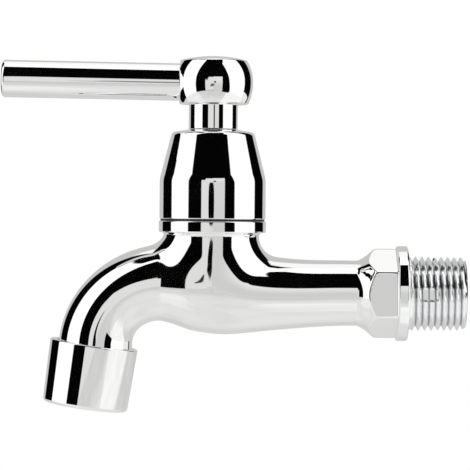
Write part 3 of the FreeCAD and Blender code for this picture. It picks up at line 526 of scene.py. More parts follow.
def bend_frame(x, z):
    """Angle round the bend from its top, and distance from its centre."""
    return np.arctan2(BEND_X - x, z - BEND_Z), np.hypot(x - BEND_X, z - BEND_Z)


def mouth_frame(x, z):
    """Distance across and along the mouth's axis, which points back up the spout."""
    turn = pi / 2 - BEND_ANGLE
    dx = x - MOUTH_AXIS[0][3]
    dz = z - MOUTH_AXIS[2][3]
    return dx * cos(turn) - dz * sin(turn), dx * sin(turn) + dz * cos(turn)


def tube_distance(x, y, z):
    """Signed distance, nearly, to the oval tube, and the section's outward direction."""
    lift, half_height, half_width = z - tube_middle(x), tube_height(x), tube_width(x)
    share = np.sqrt((y / half_width) ** 2 + (lift / half_height) ** 2) + 1e-9
    across, up = y / half_width ** 2, lift / half_height ** 2
    steepness = np.sqrt(across ** 2 + up ** 2) + 1e-9
    return (share - 1) * share / steepness, across / steepness, up / steepness


def spout_distance(x, y, z):
    """Signed distance to the bent and straight part of the spout."""
    angle, reach = bend_frame(x, z)
    swelling = SPOUT_SWELLING * np.clip(1 - angle / BEND_ANGLE, 0, 1) ** 3
    across, along = mouth_frame(x, z)
    run = np.where(angle < BEND_ANGLE, BEND_RADIUS * (BEND_ANGLE - angle), along)
    flare = SPOUT_FLARE * np.clip(1 - run / 12.0, 0, 1.2) ** 1.5
    bent = np.hypot(y, reach - BEND_RADIUS - swelling + flare) - SPOUT_RADIUS - swelling - flare
    straight = np.maximum(np.hypot(y, across - flare) - SPOUT_RADIUS - flare, -1.9 - along)
    return np.where(angle < BEND_ANGLE, bent, straight)


def water_distance(x, y, z):
    """Signed distance to the waterways and the valve pocket."""
    from_valve = np.hypot(x - VALVE_X, y)
    inlet = np.maximum(np.hypot(y, z) - BORE_RADIUS, -41.0 - x)
    lower = np.maximum(np.hypot(y, z + 5.2) - 4.0, np.maximum(-57.25 - x, x + 36.0))
    seat_hole = np.maximum(from_valve - 4.5, np.maximum(-5.2 - z, z - 1.5))
    chamber = np.maximum(from_valve - 10.0, 1.0 - z)
    threaded = np.maximum(from_valve - 10.55, 10.7 - z)
    outlet = np.maximum(np.hypot(y, z - 1.75) - BORE_RADIUS, np.maximum(x + 62.0, BEND_X - x))
    angle, reach = bend_frame(x, z)
    bent = np.hypot(y, reach - BEND_RADIUS) - BORE_RADIUS
    bent = np.where((angle >= 0) & (angle < BEND_ANGLE), bent, FAR_OUT)
    across, along = mouth_frame(x, z)
    tip = np.where((along < 0) & (x < BEND_X), np.hypot(y, across) - BORE_RADIUS, FAR_OUT)
    return np.minimum.reduce([inlet, lower, seat_hole, chamber, threaded, outlet, bent, tip])


def casting_distance(x, y, z):
    """Signed distance to the whole casting: tube, bulb and spout blended into the neck."""
    tube, across, up = tube_distance(x, y, z)
    run = np.where(x < BEND_X, spout_distance(x, y, z), tube)
    run = np.maximum(run, x + 8.0)
    from_valve = np.hypot(x - VALVE_X, y) + 1e-9
    root = np.clip(z - (RING_BOTTOM - ROOT_ROUNDING), 0, 0.97 * ROOT_ROUNDING)
    wall = NECK_RADIUS + ROOT_ROUNDING - np.sqrt(ROOT_ROUNDING ** 2 - root ** 2)
    wall = wall - 0.035 * np.clip(3.0 - z, 0, None) ** 2
    neck = np.maximum(from_valve - wall, np.maximum(-4.0 - z, z - 18.3))
    likeness = np.clip(across * y / from_valve, 0, 1)
    blend = (5.4 + 2.6 * (y / from_valve) ** 2) * (1 - likeness) ** 0.65 + 1e-6
    near_run = np.clip(1 - run / blend, 0, None)
    near_neck = np.clip(1 - neck / blend, 0, None)
    filled = (near_run ** BLEND_POWER + near_neck ** BLEND_POWER) ** (1 / BLEND_POWER)
    outside = np.maximum(blend, np.minimum(run, neck)) - blend * filled
    return np.maximum(outside, -water_distance(x, y, z))


def field_gradient(field, points, step=0.01):
    """Slope of a field at points, by central differences."""
    slopes = []
    for axis in range(3):
        ahead, behind = points.copy(), points.copy()
        ahead[:, axis] += step
        behind[:, axis] -= step
        slopes.append((field(*ahead.T) - field(*behind.T)) / (2 * step))
    return np.stack(slopes, axis=1)


def skin_of(name, field, low, high, cell):
    """A closed quad mesh on the zero level of a field, one point in each crossed cell."""
    axes = [np.arange(a, b + cell, cell) for a, b in zip(low, high)]
    grid = field(*np.meshgrid(*axes, indexing="ij", sparse=True))
    inside = grid < 0
    ends = [n - 1 for n in inside.shape]
    corners = sum(inside[i:ends[0] + i, j:ends[1] + j, k:ends[2] + k].astype(np.int8)
                  for i in (0, 1) for j in (0, 1) for k in (0, 1))
    crossed = (corners > 0) & (corners < 8)
    number = np.full(crossed.shape, -1, np.int64)
    number[crossed] = np.arange(crossed.sum())
    points = (np.argwhere(crossed) + 0.5) * cell + np.array([a[0] for a in axes])
    middles = points.copy()
    for _ in range(6):
        slope = field_gradient(field, points)
        steep = np.maximum((slope ** 2).sum(axis=1), 0.05)
        points = points - slope * (field(*points.T) / steep)[:, None]
        points = np.clip(points, middles - cell * 0.75, middles + cell * 0.75)
    quads = []
    for axis in range(3):
        first, second = [k for k in range(3) if k != axis]
        flags = np.moveaxis(inside, (axis, first, second), (0, 1, 2))
        cells = np.moveaxis(number, (axis, first, second), (0, 1, 2))
        change = flags[1:, 1:-1, 1:-1] != flags[:-1, 1:-1, 1:-1]
        i, j, k = np.nonzero(change)
        found = np.stack([cells[i, j, k], cells[i, j + 1, k], cells[i, j + 1, k + 1],
                          cells[i, j, k + 1]], axis=1)
        leaving = flags[i, j + 1, k + 1] != (axis == 1)
        found[~leaving] = found[~leaving][:, ::-1]
        quads.append(found)
    quads = np.concatenate(quads)
    return write_mesh(name, points, quads.ravel(), np.full(len(quads), 4),
                      unit(field_gradient(field, points)))


def make_casting():
    """The casting's skin, and the turned ring and collar on it."""
    mesh = skin_of("body_casting", casting_distance, *CASTING_BOX, SKIN_CELL)
    add_piece("body_casting", mesh, "chrome", "tap", "chrome", "tap_body")
    ring = [(12.6, RING_BOTTOM), (RING_RADIUS, RING_BOTTOM, 0.4), (RING_RADIUS, RING_TOP, 0.35),
            (12.15, RING_TOP, 0.1), (12.15, 18.35), (12.6, 18.35)]
    add_turned("body_ring", ring, VALVE_AXIS, "tap", "tap_body", 6)
    collar = [(BORE_RADIUS, -3.4), (COLLAR_RADIUS, -3.1, 0.5), (COLLAR_RADIUS, 0.0, 0.55),
              (9.2, 0.0, 0.05), (9.2, 0.3), (BORE_RADIUS, 0.3)]
    add_turned("inlet_collar", collar, INLET_AXIS, "tap", "tap_body", 6)


def soft_minimum(first, second, soft):
    """The smaller of two values, with a rounded change from one to the other."""
    overlap = np.clip(1 - np.abs(first - second) / soft, 0, None)
    return np.minimum(first, second) - overlap ** 2 * soft / 4


def make_hexagon():
    """The spanner hexagon, its corners trimmed, coned and blended down into the tube."""
    limit = clamped_spline([-14.8, -13.3, -11.9, -10.9, -9.9, -9.0, -3.0],
                           [9.12, 9.52, 10.38, 11.15, 12.05, 12.62, 12.62], 0.03, 0)
    sector = np.linspace(-1, 1, 41)
    sector = np.sign(sector) * (1 - (1 - np.abs(sector)) ** 1.7) * pi / 6
    angles = np.concatenate([sector[:-1] + pi / 3 * k for k in range(6)])
    levels = np.concatenate([np.linspace(-14.8, -8.4, 48), np.linspace(-8.2, -3.7, 12),
                             np.linspace(-3.6, -3.06, 8)])
    nearest = np.round(angles / (pi / 3)) * pi / 3
    flat = HEXAGON_HALF_WIDTH / np.cos(angles - nearest)
    radius = soft_minimum(flat[None, :], limit(levels)[:, None], 0.3)
    corner = np.clip((radius - 12.35) / 0.35, 0, 1)
    radius = radius - corner ** 2 * 0.12
    foot = np.clip(levels + 3.55, 0, 0.43)
    radius = radius + (0.45 - np.sqrt(0.45 ** 2 - foot ** 2))[:, None]
    radius = np.pad(radius, ((1, 1), (0, 0)), constant_values=BORE_RADIUS)
    levels = np.pad(levels, 1, mode="edge")
    points = np.stack([np.broadcast_to(levels[:, None], radius.shape),
                       radius * np.cos(angles + pi), radius * np.sin(angles + pi)], axis=-1)
    quads = grid_quads(*radius.shape)[:, [0, 3, 2, 1]]
    corners = np.full(len(quads), 4)
    mesh = write_mesh("inlet_hexagon", points.reshape(-1, 3), quads.ravel(), corners)
    mesh.set_sharp_from_angle(angle=radians(35))
    add_piece("inlet_hexagon", mesh, "chrome", "tap", "chrome", "tap_body")


# ---- Geometry trees ----
def hand_out(w, shape, given, result):
    """The last two nodes of a geometry tree, and its result."""
    realised = w.first("GeometryNodeRealizeInstances", {"Geometry": shape})
    w.feed(result[0], w.first("GeometryNodeSetMaterial", {
        "Geometry": realised, "Material": given["Finish"]}))


def make_thread_group():
    """Cuts a screw thread into a turned blank that stands on the Z axis."""
    flank_edges = (0.06, 0.95)
    group, w, given, result = new_group(
        "cut_thread", "GeometryNodeTree",
        [("Blank", "NodeSocketGeometry"), ("Pitch", 0.0018), ("Depth", 0.001),
         ("Crest Radius", 0.01), ("First Level", 0.0), ("Last Level", 0.016), ("Run Out", 0.001),
         ("Taper", 0.0), ("Lead", 0.0), ("Finish", "NodeSocketMaterial")],
        [("Threaded", "NodeSocketGeometry")])
    x, y, level = w.split(w.first("GeometryNodeInputPosition"))
    radius = w.distance(x, y)
    turn = w.over(w.math("ARCTAN2", y, x), tau)
    lead = w.minus(level, given["Lead"])
    phase = w.math("FRACT", w.minus(w.over(lead, given["Pitch"]), turn))
    flank = w.size(w.minus(w.times(phase, 2.0), 1.0))
    groove = w.ramp(flank, *flank_edges, smooth=False)
    first, last, run_out = given["First Level"], given["Last Level"], given["Run Out"]
    starts = w.ramp(level, w.minus(first, run_out), first)
    ends = w.ramp(level, last, w.plus(last, run_out), 1.0, 0.0)
    share = w.times(groove, w.times(starts, ends))
    cut = w.times(share, given["Depth"])
    crest = w.minus(given["Crest Radius"], w.times(level, given["Taper"]))
    shrink = w.over(w.math("MINIMUM", radius, w.minus(crest, cut)), radius)
    # The groove's depth is kept on the mesh for the painted shade in the thread's roots.
    noted = w.first("GeometryNodeStoreNamedAttribute", {
        "Geometry": given["Blank"], "Name": GROOVE_DEPTH, "Value": share})
    shaped = w.first("GeometryNodeSetPosition", {
        "Geometry": noted, "Position": w.join(w.times(x, shrink), w.times(y, shrink), level)})
    hand_out(w, shaped, given, result)
    return group


def run_tree(name, mesh, group, values):
    """Run a geometry tree on a mesh and keep the plain mesh that comes out."""
    blank = new_object(name + "_blank", mesh)
    modifier = blank.modifiers.new("tree", "NODES")
    modifier.node_group = group
    for socket in group.interface.items_tree:
        if socket.item_type == "SOCKET" and socket.in_out == "INPUT" and socket.name in values:
            modifier[socket.identifier] = values[socket.name]
    bpy.context.view_layer.update()
    graph = bpy.context.evaluated_depsgraph_get()
    made = bpy.data.meshes.new_from_object(blank.evaluated_get(graph))
    made.name = name
    bpy.data.objects.remove(blank)
    return made


cut_thread = make_thread_group()


def threaded_mesh(name, outline, place, depth, first, last, run_out, taper=0.0, lead=0.0,
                  cut=None):
    """A turned blank with a screw thread, moved to its place."""
    blank = turned_mesh(name + "_blank", outline, Matrix.Identity(4), sides=200, cut=cut)
    if blank.attributes.get("custom_normal"):
        blank.attributes.remove(blank.attributes["custom_normal"])
    lengths = {"Pitch": THREAD_PITCH, "Depth": depth, "Crest Radius": THREAD_RADIUS, "Lead": lead,
               "First Level": first, "Last Level": last, "Run Out": run_out}
    values = {label: length * METRES for label, length in lengths.items()}
    mesh = run_tree(name, blank, cut_thread,
                    {**values, "Taper": taper, "Finish": finishes["chrome_thread"]})
    lift = place.copy()
    lift.translation = place.translation * METRES
    mesh.transform(lift)
    mesh.set_sharp_from_angle(angle=radians(50))
    return mesh


def finely(start, end, step):
    """Levels from start to end, a step apart."""
    return np.linspace(start, end, int(abs(end - start) / step) + 2)


def drawn_in(points, share):
    """Points moved to a share of their distance from the Z axis."""
    return np.concatenate([points[..., :2] * share[..., None], points[..., 2:]], axis=-1)


# Grip notches in the thread: turn from the top towards the front, middle level, half length,
# half width and the radius of the floor.
GRIP_NOTCHES = [(90.0, 5.5, 1.7, 1.65, 9.15), (0.0, 8.1, 1.25, 1.9, 8.95),
                (180.0, 8.7, 1.2, 1.7, 9.55), (270.0, 6.4, 1.5, 1.7, 9.1)]


def grip_notches(points, normals):
    """Cuts the small flats that hold the sealing tape into the thread's blank."""
    x, y, level = points[..., 0], points[..., 1], points[..., 2]
    radius = np.hypot(x, y)
    reach = radius.copy()
    for turn, middle, half_length, half_width, floor in GRIP_NOTCHES:
        angle = radians(turn)
        outward = -x * cos(angle) - y * sin(angle)
        aside = -x * sin(angle) + y * cos(angle)
        cosine = np.clip(outward / radius, 0.5, 1)
        inside = (np.abs(level - middle) < half_length) & (np.abs(aside) < half_width)
        inside &= (outward > 0) & (radius > 9.9)
        reach = np.where(inside, np.minimum(reach, floor / cosine), reach)
    return drawn_in(points, reach / radius), normals


def make_threads():
    """The inlet's long thread and the short one on the spout's tip."""
    side = [(THREAD_RADIUS, level) for level in finely(0.2, INLET_END - 1.0, 0.13)]
    outline = np.array(
        [(BORE_RADIUS, 0.1), (9.32, 0.1), (10.3, 0.2)] + side[1:]
        + [(THREAD_RADIUS - 0.25, 15.6), (THREAD_RADIUS - 0.9, 16.15),
           (THREAD_RADIUS - 1.05, INLET_END), (BORE_RADIUS + 0.3, INLET_END), (BORE_RADIUS, 16.0)])
    mesh = threaded_mesh("inlet_thread", outline, INLET_AXIS, THREAD_DEPTH, first=1.4,
                         last=INLET_END, run_out=1.3, taper=0.012, lead=0.5, cut=grip_notches)
    add_piece("inlet_thread", mesh, "chrome_thread", "tap", "chrome", "tap_body")
    side = [(THREAD_RADIUS, level) for level in finely(TIP_END + 0.4, -2.2, 0.14)]
    outline = np.array([(BORE_RADIUS, TIP_END), (THREAD_RADIUS - 0.5, TIP_END)] + side
                       + [(9.7, -2.0), (9.7, -1.2), (BORE_RADIUS, -1.2)])
    mesh = threaded_mesh("spout_thread", outline, MOUTH_AXIS, depth=0.9, first=TIP_END, last=-2.8,
                         run_out=0.8)
    add_piece("spout_thread", mesh, "chrome_thread", "tap", "chrome", "tap_body")


# ---- The bonnet, handle and nozzle ----
def make_bonnet():
    """The cap: straight below, coned above, hollow for the headpart."""
    outline = [(13.6, CAP_BOTTOM, 0.1), (CAP_RADIUS, CAP_BOTTOM, 0.35), (CAP_RADIUS, 31.8, 9.0),
               (11.6, 44.9, 1.5), (6.95, CAP_TOP, 0.2), (6.6, CAP_TOP, 0.1), (6.6, 42.7),
               (9.4, 42.7), (9.4, 33.5), (10.0, 33.5), (10.0, 26.5), (13.6, 26.5)]
    add_turned("bonnet_shell", outline, VALVE_AXIS, "tap", "bonnet_cap", 10, sides=192)


def lever_flat(points, normals):
    """Works the lever's flat into the turned head, with a softened edge."""
    soft = 0.35
    x, y, z = points[..., 0], points[..., 1], points[..., 2]
    radius = np.hypot(x, y) + 1e-9
    toward = np.clip(-x / radius, 0.2, 1)
    cosine, sine = cos(LEVER_RISE), sin(LEVER_RISE)
    limit = (FLAT_DISTANCE - sine * (z - LEVER_LEVEL)) / (cosine * toward)
    limit = np.where(toward > 0.21, limit, 99.0)
    share = np.clip(0.5 + (radius - limit) / (2 * soft), 0, 1)
    reach = soft_minimum(radius, limit, soft)
    outward = (normals[..., 0] * x + normals[..., 1] * y) / radius
    spin = share * limit * (y / radius) / toward
    rise = -share * sine / (cosine * toward)
    ring_x, ring_y = x / radius, y / radius
    round_part = np.where(share > 0, outward * spin / np.maximum(reach, 1e-6), 0)
    turned = np.stack([outward * ring_x - round_part * ring_y,
                       outward * ring_y + round_part * ring_x,
                       (1 - share) * normals[..., 2] - outward * rise], axis=-1)
    turned = np.where((share > 0)[..., None] & (outward > 0.02)[..., None], turned, normals)
    return drawn_in(points, reach / radius), unit(turned)


def make_hub():
    """The hub: a turned neck and head, with the lever's flat worked into the head."""
    levels = np.linspace(HEAD_BOTTOM, HEAD_MIDDLE, 30)
    belly = HEAD_RADIUS - BELLY_RADIUS + np.sqrt(BELLY_RADIUS ** 2 - (levels - HEAD_MIDDLE) ** 2)
    below_middle = (HEAD_MIDDLE - levels) / (HEAD_MIDDLE - HEAD_BOTTOM)
    belly = belly - (belly[0] - HEAD_FOOT) * below_middle
    shoulder = np.linspace(0, acos(HEAD_BROW / HEAD_RADIUS), 36)[1:-2]
    dome_radius = (HEAD_BROW ** 2 / HEAD_CROWN + HEAD_CROWN) / 2
    dome_middle = HEAD_TOP - dome_radius
    dome = np.linspace(asin(9.0 / dome_radius), 0, 22)
    outline = [(SOCKET_RADIUS, HUB_BOTTOM), (HUB_RADIUS, HUB_BOTTOM, 0.2),
               (HUB_RADIUS, HEAD_BOTTOM, 0.3), (HEAD_FOOT, HEAD_BOTTOM, 0.6)]
    outline += [(r, z) for r, z in zip(belly[3:], levels[3:])]
    outline += [(HEAD_RADIUS * cos(a), HEAD_MIDDLE + HEAD_RADIUS * sin(a)) for a in shoulder]
    outline += [(HEAD_BROW, 65.16, 0.9)]
    outline += [(dome_radius * sin(a), dome_middle + dome_radius * cos(a)) for a in dome]
    outline += [(0.0, 62.5), (4.05, 62.5), (4.05, 50.0), (SOCKET_RADIUS, 50.0)]
    add_turned("handle_head", outline, VALVE_AXIS, "handle", "handle_hub", sides=300,
               cut=lever_flat)


def make_lever():
    """The lever and its stud, turned about the lever's own axis."""
    outline = [(0.0, 4.05), (2.6, 4.05), (STUD_RADIUS, 4.45), (STUD_RADIUS, 9.45),
               (LEVER_RADIUS, 9.45, 0.12), (LEVER_RADIUS, LEVER_REACH - 0.1, 0.95),
               (0.0, LEVER_REACH)]
    add_turned("lever_handle", outline, LEVER_AXIS, "handle", "lever_rod", closed=False)


def make_sleeve():
    """The tapered sleeve round the spout's tip."""
    outline = [(10.58, SLEEVE_TOP, 0.3), (12.40, SLEEVE_TOP, 0.4), (11.95, SLEEVE_END, 1.0),
               (9.2, SLEEVE_END, 0.3), (9.2, -17.4, 0.1), (10.58, -17.4)]
    add_turned("nozzle_shell", outline, MOUTH_AXIS, "tap", "nozzle_sleeve", sides=192)


make_casting()
make_hexagon()
make_threads()
make_bonnet()
make_hub()
make_lever()
make_sleeve()


# ---- Woven screens ----
SCREEN_RADIUS = 9.05
SCREEN_PITCH = 0.62
SCREEN_WIRE = 0.068


def make_screen_group():
    """Weaves a round plain screen of wires in the XY plane."""
    group, w, given, result = new_group(
        "weave_screen", "GeometryNodeTree",
        [("Radius", 0.009), ("Pitch", 0.0006), ("Wire Radius", 0.00007),
         ("Finish", "NodeSocketMaterial")],
        [("Screen", "NodeSocketGeometry")])
    radius, pitch, wire = given["Radius"], given["Pitch"], given["Wire Radius"]
    rows = w.math("FLOOR", w.over(radius, pitch))
    first = w.times(w.times(rows, pitch), -1.0)
    starts = w.first("GeometryNodeMeshLine", {
        "Count": w.plus(w.times(rows, 2.0), 1.0),
        "Start Location": w.join(y=first), "Offset": w.join(y=pitch)})
    row = w.split(w.first("GeometryNodeInputPosition"))[1]
    left = w.minus(w.times(radius, radius), w.times(row, row))
    chord = w.math("SQRT", w.math("MAXIMUM", left, w.times(pitch, pitch)))
    straight = w.first("GeometryNodeCurvePrimitiveLine", {
        "Start": (-1.0, 0, 0), "End": (1.0, 0, 0)})
    wires = w.first("GeometryNodeInstanceOnPoints", {
        "Points": starts, "Instance": straight, "Scale": w.join(chord, 1.0, 1.0)})
    curves = w.first("GeometryNodeRealizeInstances", {"Geometry": wires})
    fine = w.first("GeometryNodeResampleCurve",
                   {"Curve": curves, "Length": w.over(pitch, 5.0)}, mode="LENGTH")
    x, y, _ = w.split(w.first("GeometryNodeInputPosition"))
    waves = [w.math("COSINE", w.times(w.over(axis, pitch), pi)) for axis in (x, y)]
    height = w.times(w.times(*waves), w.times(wire, 1.02))
    woven = w.first("GeometryNodeSetPosition", {
        "Geometry": fine, "Position": w.join(x, y, height)})
    section = w.first("GeometryNodeCurvePrimitiveCircle", {"Resolution": 6, "Radius": wire})
    warp = w.first("GeometryNodeCurveToMesh", {
        "Curve": woven, "Profile Curve": section, "Fill Caps": True})
    weft = w.first("GeometryNodeTransform", {"Geometry": warp, "Rotation": (pi, 0, pi / 2)})
    both = w.node("GeometryNodeJoinGeometry")
    for layer in (warp, weft):
        w.feed(both.inputs[0], layer)
    hand_out(w, both.outputs[0], given, result)
    return group


def make_screens():
    """The aerator's two screens, the upper one turned by half a right angle."""
    weave = make_screen_group()
    for name, level, turn in (("upper", -12.55, 45.0), ("lower", -12.85, 0.0)):
        mesh = run_tree(name + "_screen", bpy.data.meshes.new(name + "_blank"), weave, {
            "Radius": SCREEN_RADIUS * METRES, "Pitch": SCREEN_PITCH * METRES,
            "Wire Radius": SCREEN_WIRE * METRES, "Finish": finishes["steel"]})
        place = MOUTH_AXIS @ Matrix.Translation((0, 0, level))
        place = place @ Matrix.Rotation(radians(turn), 4, "Z")
        place.translation *= METRES
        mesh.transform(place)
        mesh.polygons.foreach_set("use_smooth", np.ones(len(mesh.polygons), bool))
        mesh.set_sharp_from_angle(angle=radians(70))
        add_piece("woven_screen_" + name, mesh, "steel", "tap", "steel",
                  "aerator_screen_" + name)


make_screens()


# ---- Finishes of the pieces that keep their own solids ----
NODE_FINISHES = {
    "brass": "cartridge_housing spindle",
    "steel": "spindle_circlip",
    "rubber": "housing_oring seat_seal spindle_oring_lower spindle_oring_upper bonnet_gasket"
              " nozzle_washer",
    "ceramic": "fixed_disc rotating_disc",
    "plastic": "thrust_washer aerator_body aerator_plate",
}
for finish, node_names in NODE_FINISHES.items():
    for node_name in node_names.split():
        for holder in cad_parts[node_name].material_slots:
            holder.material = finishes[finish]


# ---- Studio ----
def stage_mesh(name, material, points, faces=None):
    """A part of the studio, not of the tap. Without faces, its points are one face."""
    faces = faces or [range(len(points))]
    sizes = np.array([len(face) for face in faces])
    mesh = write_mesh(name, np.array(points, float), np.concatenate(faces), sizes)
    mesh.materials.append(material)
    made = new_object(name, mesh)
    return made


def glowing_material(name):
    """A material with only an emission shader, and the wiring to feed it."""
    material = bpy.data.materials.new(name)
    material.use_nodes = True
    material.node_tree.nodes.clear()
    w = Wiring(material.node_tree)
    glow = w.node("ShaderNodeEmission", {"Color": (1.0, 0.995, 0.985, 1.0), "Strength": 1.0})
    w.node("ShaderNodeOutputMaterial", {"Surface": glow.outputs[0]})
    return material, w, glow


def only_in_reflections(made):
    """Softboxes and cards light the metal, but neither the camera nor matt surfaces see them."""
    made.visible_camera = False
    made.visible_diffuse = False
    made.visible_shadow = False


# The cards stand on a cylinder round the tap, and the table is a disc inside it. A place on them
# is given by its turn, in degrees from the camera's side to the right, and its rise, in degrees
# up from the tap's origin, both seen from the cylinder's axis. A pair is where a change starts
# and ends, and the two numbers that may follow are what it changes from and to.
DEGREES = 180 / pi
CARD_CENTRE = (-50.0, -60.0)
CARD_REACH = 340.0
CARD_SIDES = 72
CARD_FOOT = 50.0
CARD_TOP = CARD_REACH * tan(radians(76))
BLACK_GLOW = 0.001

FRONT_ENDS = (-28, 30)
FRONT_STEP_TURN = (-20, -16)
FRONT_STEP_RISE = (15.0, 21.5)
FRONT_TOP = (21.6, 23.4)
FRONT_LEFT_GLOW = 0.76
FRONT_RIGHT_FADE = (-2, 20, 0.64, 0.80)
FOOT_SHADOW_TURN = (-31, 3)
FOOT_SHADOW_RISE = (-12.4, -11.6, 0.93, 0)
# Openings: middle turn (the low one's changes with the rise), rise, half sizes and squareness.
LENS_OPENING = (-3.4, 4.3, 7.2, 1.7, 3.0)
LOW_OPENING_SLANT = (0.3, 1.3, -6.3, -3.0)
LOW_OPENING = (0.12, 6.6, 1.55, 2.6)
HIGH_OPENING = (4.9, 10.9, 3.3, 2.4, 3.0)

BOX_GLOW = 1.15
BOX_BOW = 0.0045
LEFT_BOX_END = -107
LEFT_BOX_EDGE = (-62.2, -59.8)
LEFT_BOX_SLOPE = (-58, -50, 0, -12)
LEFT_BOX_TOP = (62, 65)
RIGHT_BOX_END = 112
RIGHT_BOX_EDGE = (54.8, 57.2)
RIGHT_BOX_LEAN = 0.12
RIGHT_BOX_BOW = 0.62
RIGHT_BOX_SLOPE = (40, 58, 0, -11.5)
RIGHT_BOX_CORNER = (59, 68, 0, -12)
RIGHT_BOX_TOP = (55, 57)
RIGHT_SIDE_TURN = (106, 140)
RIGHT_SIDE_FADE = (-2.6, -0.8, 0.86, 0)
BACK_TOP = (48, 52)
BACK_GLOW = 0.58

TABLE_LEVEL = -64.0
TABLE_REACH = 300.0
TABLE_GLOW = 0.79
TABLE_FADE = 0.13
TABLE_FAR = (0.11, 0.23)
# Painted light on the table: bright patches beside the tap, each with first and last turn,
# softness and glow.
TABLE_PATCHES = [(-112, -58, 6.0, 0.88), (48, 122, 5.0, 0.97)]
TABLE_PATCH_START = (0.02, 0.07)
TABLE_BACK_GLOW = 0.66
DARK_CORNER_TURN = (31, 56)
DARK_CORNER_START = (0.252, 0.258)


def cylinder_place(w):
    """The shaded point's place, distance from the cards' axis, turn and height."""
    place = w.place()
    x, y, height = w.split(place)
    right = w.minus(x, CARD_CENTRE[0] * METRES)
    front = w.minus(CARD_CENTRE[1] * METRES, y)
    turn = w.times(w.math("ARCTAN2", right, front), DEGREES)
    return place, w.distance(right, front), turn, height


def front_card(w, turn, rise):
    """The pale card before the tap, with a stepped top edge and the camera's dark openings."""
    step = w.ramp(turn, *FRONT_STEP_TURN, *FRONT_STEP_RISE)
    left = w.times(w.band(turn, FRONT_ENDS[0], 0, 0.5),
                   w.ramp(w.minus(rise, step), -0.8, 0.8, 1, 0))
    right = w.times(w.band(turn, 0, FRONT_ENDS[1], 0.5), w.ramp(rise, *FRONT_TOP, 1, 0))
    right = w.times(right, w.ramp(rise, *FRONT_RIGHT_FADE))
    slant = w.ramp(rise, *LOW_OPENING_SLANT, smooth=False)
    openings = w.math("MAXIMUM", w.oval(turn, rise, *LENS_OPENING),
                      w.oval(turn, rise, slant, *LOW_OPENING))
    openings = w.math("MAXIMUM", openings, w.oval(turn, rise, *HIGH_OPENING))
    front = w.times(w.plus(w.times(left, FRONT_LEFT_GLOW), right), w.minus(1.0, openings))
    foot = w.times(w.band(turn, *FOOT_SHADOW_TURN, 2.0), w.ramp(rise, *FOOT_SHADOW_RISE))
    return w.times(front, w.minus(1.0, foot))


def softboxes(w, turn, rise):
    """The two tall softboxes, whose inner edges bow and lean and whose tops slope down."""
    bow = w.times(w.times(rise, w.size(rise)), BOX_BOW)
    left = w.times(w.band(turn, LEFT_BOX_END, 0, 1.2),
                   w.ramp(w.minus(turn, bow), *LEFT_BOX_EDGE, 1, 0))
    left_top = w.plus(rise, w.ramp(turn, *LEFT_BOX_SLOPE))
    left = w.times(left, w.ramp(left_top, *LEFT_BOX_TOP, 1, 0))
    lean = w.plus(turn, w.plus(w.times(rise, RIGHT_BOX_LEAN), w.times(bow, RIGHT_BOX_BOW)))
    right = w.times(w.band(turn, 0, RIGHT_BOX_END, 1.2), w.ramp(lean, *RIGHT_BOX_EDGE))
    right_top = w.plus(w.ramp(turn, *RIGHT_BOX_SLOPE, smooth=False),
                       w.ramp(turn, *RIGHT_BOX_CORNER))
    right = w.times(right, w.ramp(w.plus(rise, right_top), *RIGHT_BOX_TOP, 1, 0))
    return w.times(w.plus(left, right), BOX_GLOW)


def back_cards(w, turn, rise):
    """The grey lower part and the white upper part of the cards behind the tap."""
    lower = w.times(w.plus(w.ramp(turn, -141, -138, 1, 0), w.ramp(turn, 144, 148)),
                    w.ramp(rise, *BACK_TOP, 1, 0))
    upper = w.times(w.ramp(w.size(turn), 138, 146), w.ramp(rise, *BACK_TOP))
    return w.plus(w.times(lower, BACK_GLOW), upper)


def ring_of(reach, level, centre=CARD_CENTRE, sides=CARD_SIDES):
    """Points round the cards' axis, or round another one."""
    angles = np.arange(sides) * tau / sides
    return [(centre[0] + reach * cos(a), centre[1] + reach * sin(a), level) for a in angles]


def make_cards():
    """White softboxes, black gaps and a pale front card that stand round the tap on a table."""
    material, w, glow = glowing_material("softboxes_and_cards")
    _, _, turn, height = cylinder_place(w)
    rise = w.times(w.math("ARCTAN2", height, CARD_REACH * METRES), DEGREES)
    total = w.plus(front_card(w, turn, rise), softboxes(w, turn, rise))
    total = w.plus(total, back_cards(w, turn, rise))
    right_side = w.times(w.band(turn, *RIGHT_SIDE_TURN, 2.0), w.ramp(rise, *RIGHT_SIDE_FADE))
    total = w.math("MAXIMUM", total, right_side)
    w.feed(glow.inputs["Strength"], w.plus(total, BLACK_GLOW))
    points = ring_of(CARD_REACH, TABLE_LEVEL - CARD_FOOT) + ring_of(CARD_REACH, CARD_TOP)
    n = CARD_SIDES
    faces = [(k, n + k, n + (k + 1) % n, (k + 1) % n) for k in range(n)]
    only_in_reflections(stage_mesh("cards", material, points, faces))


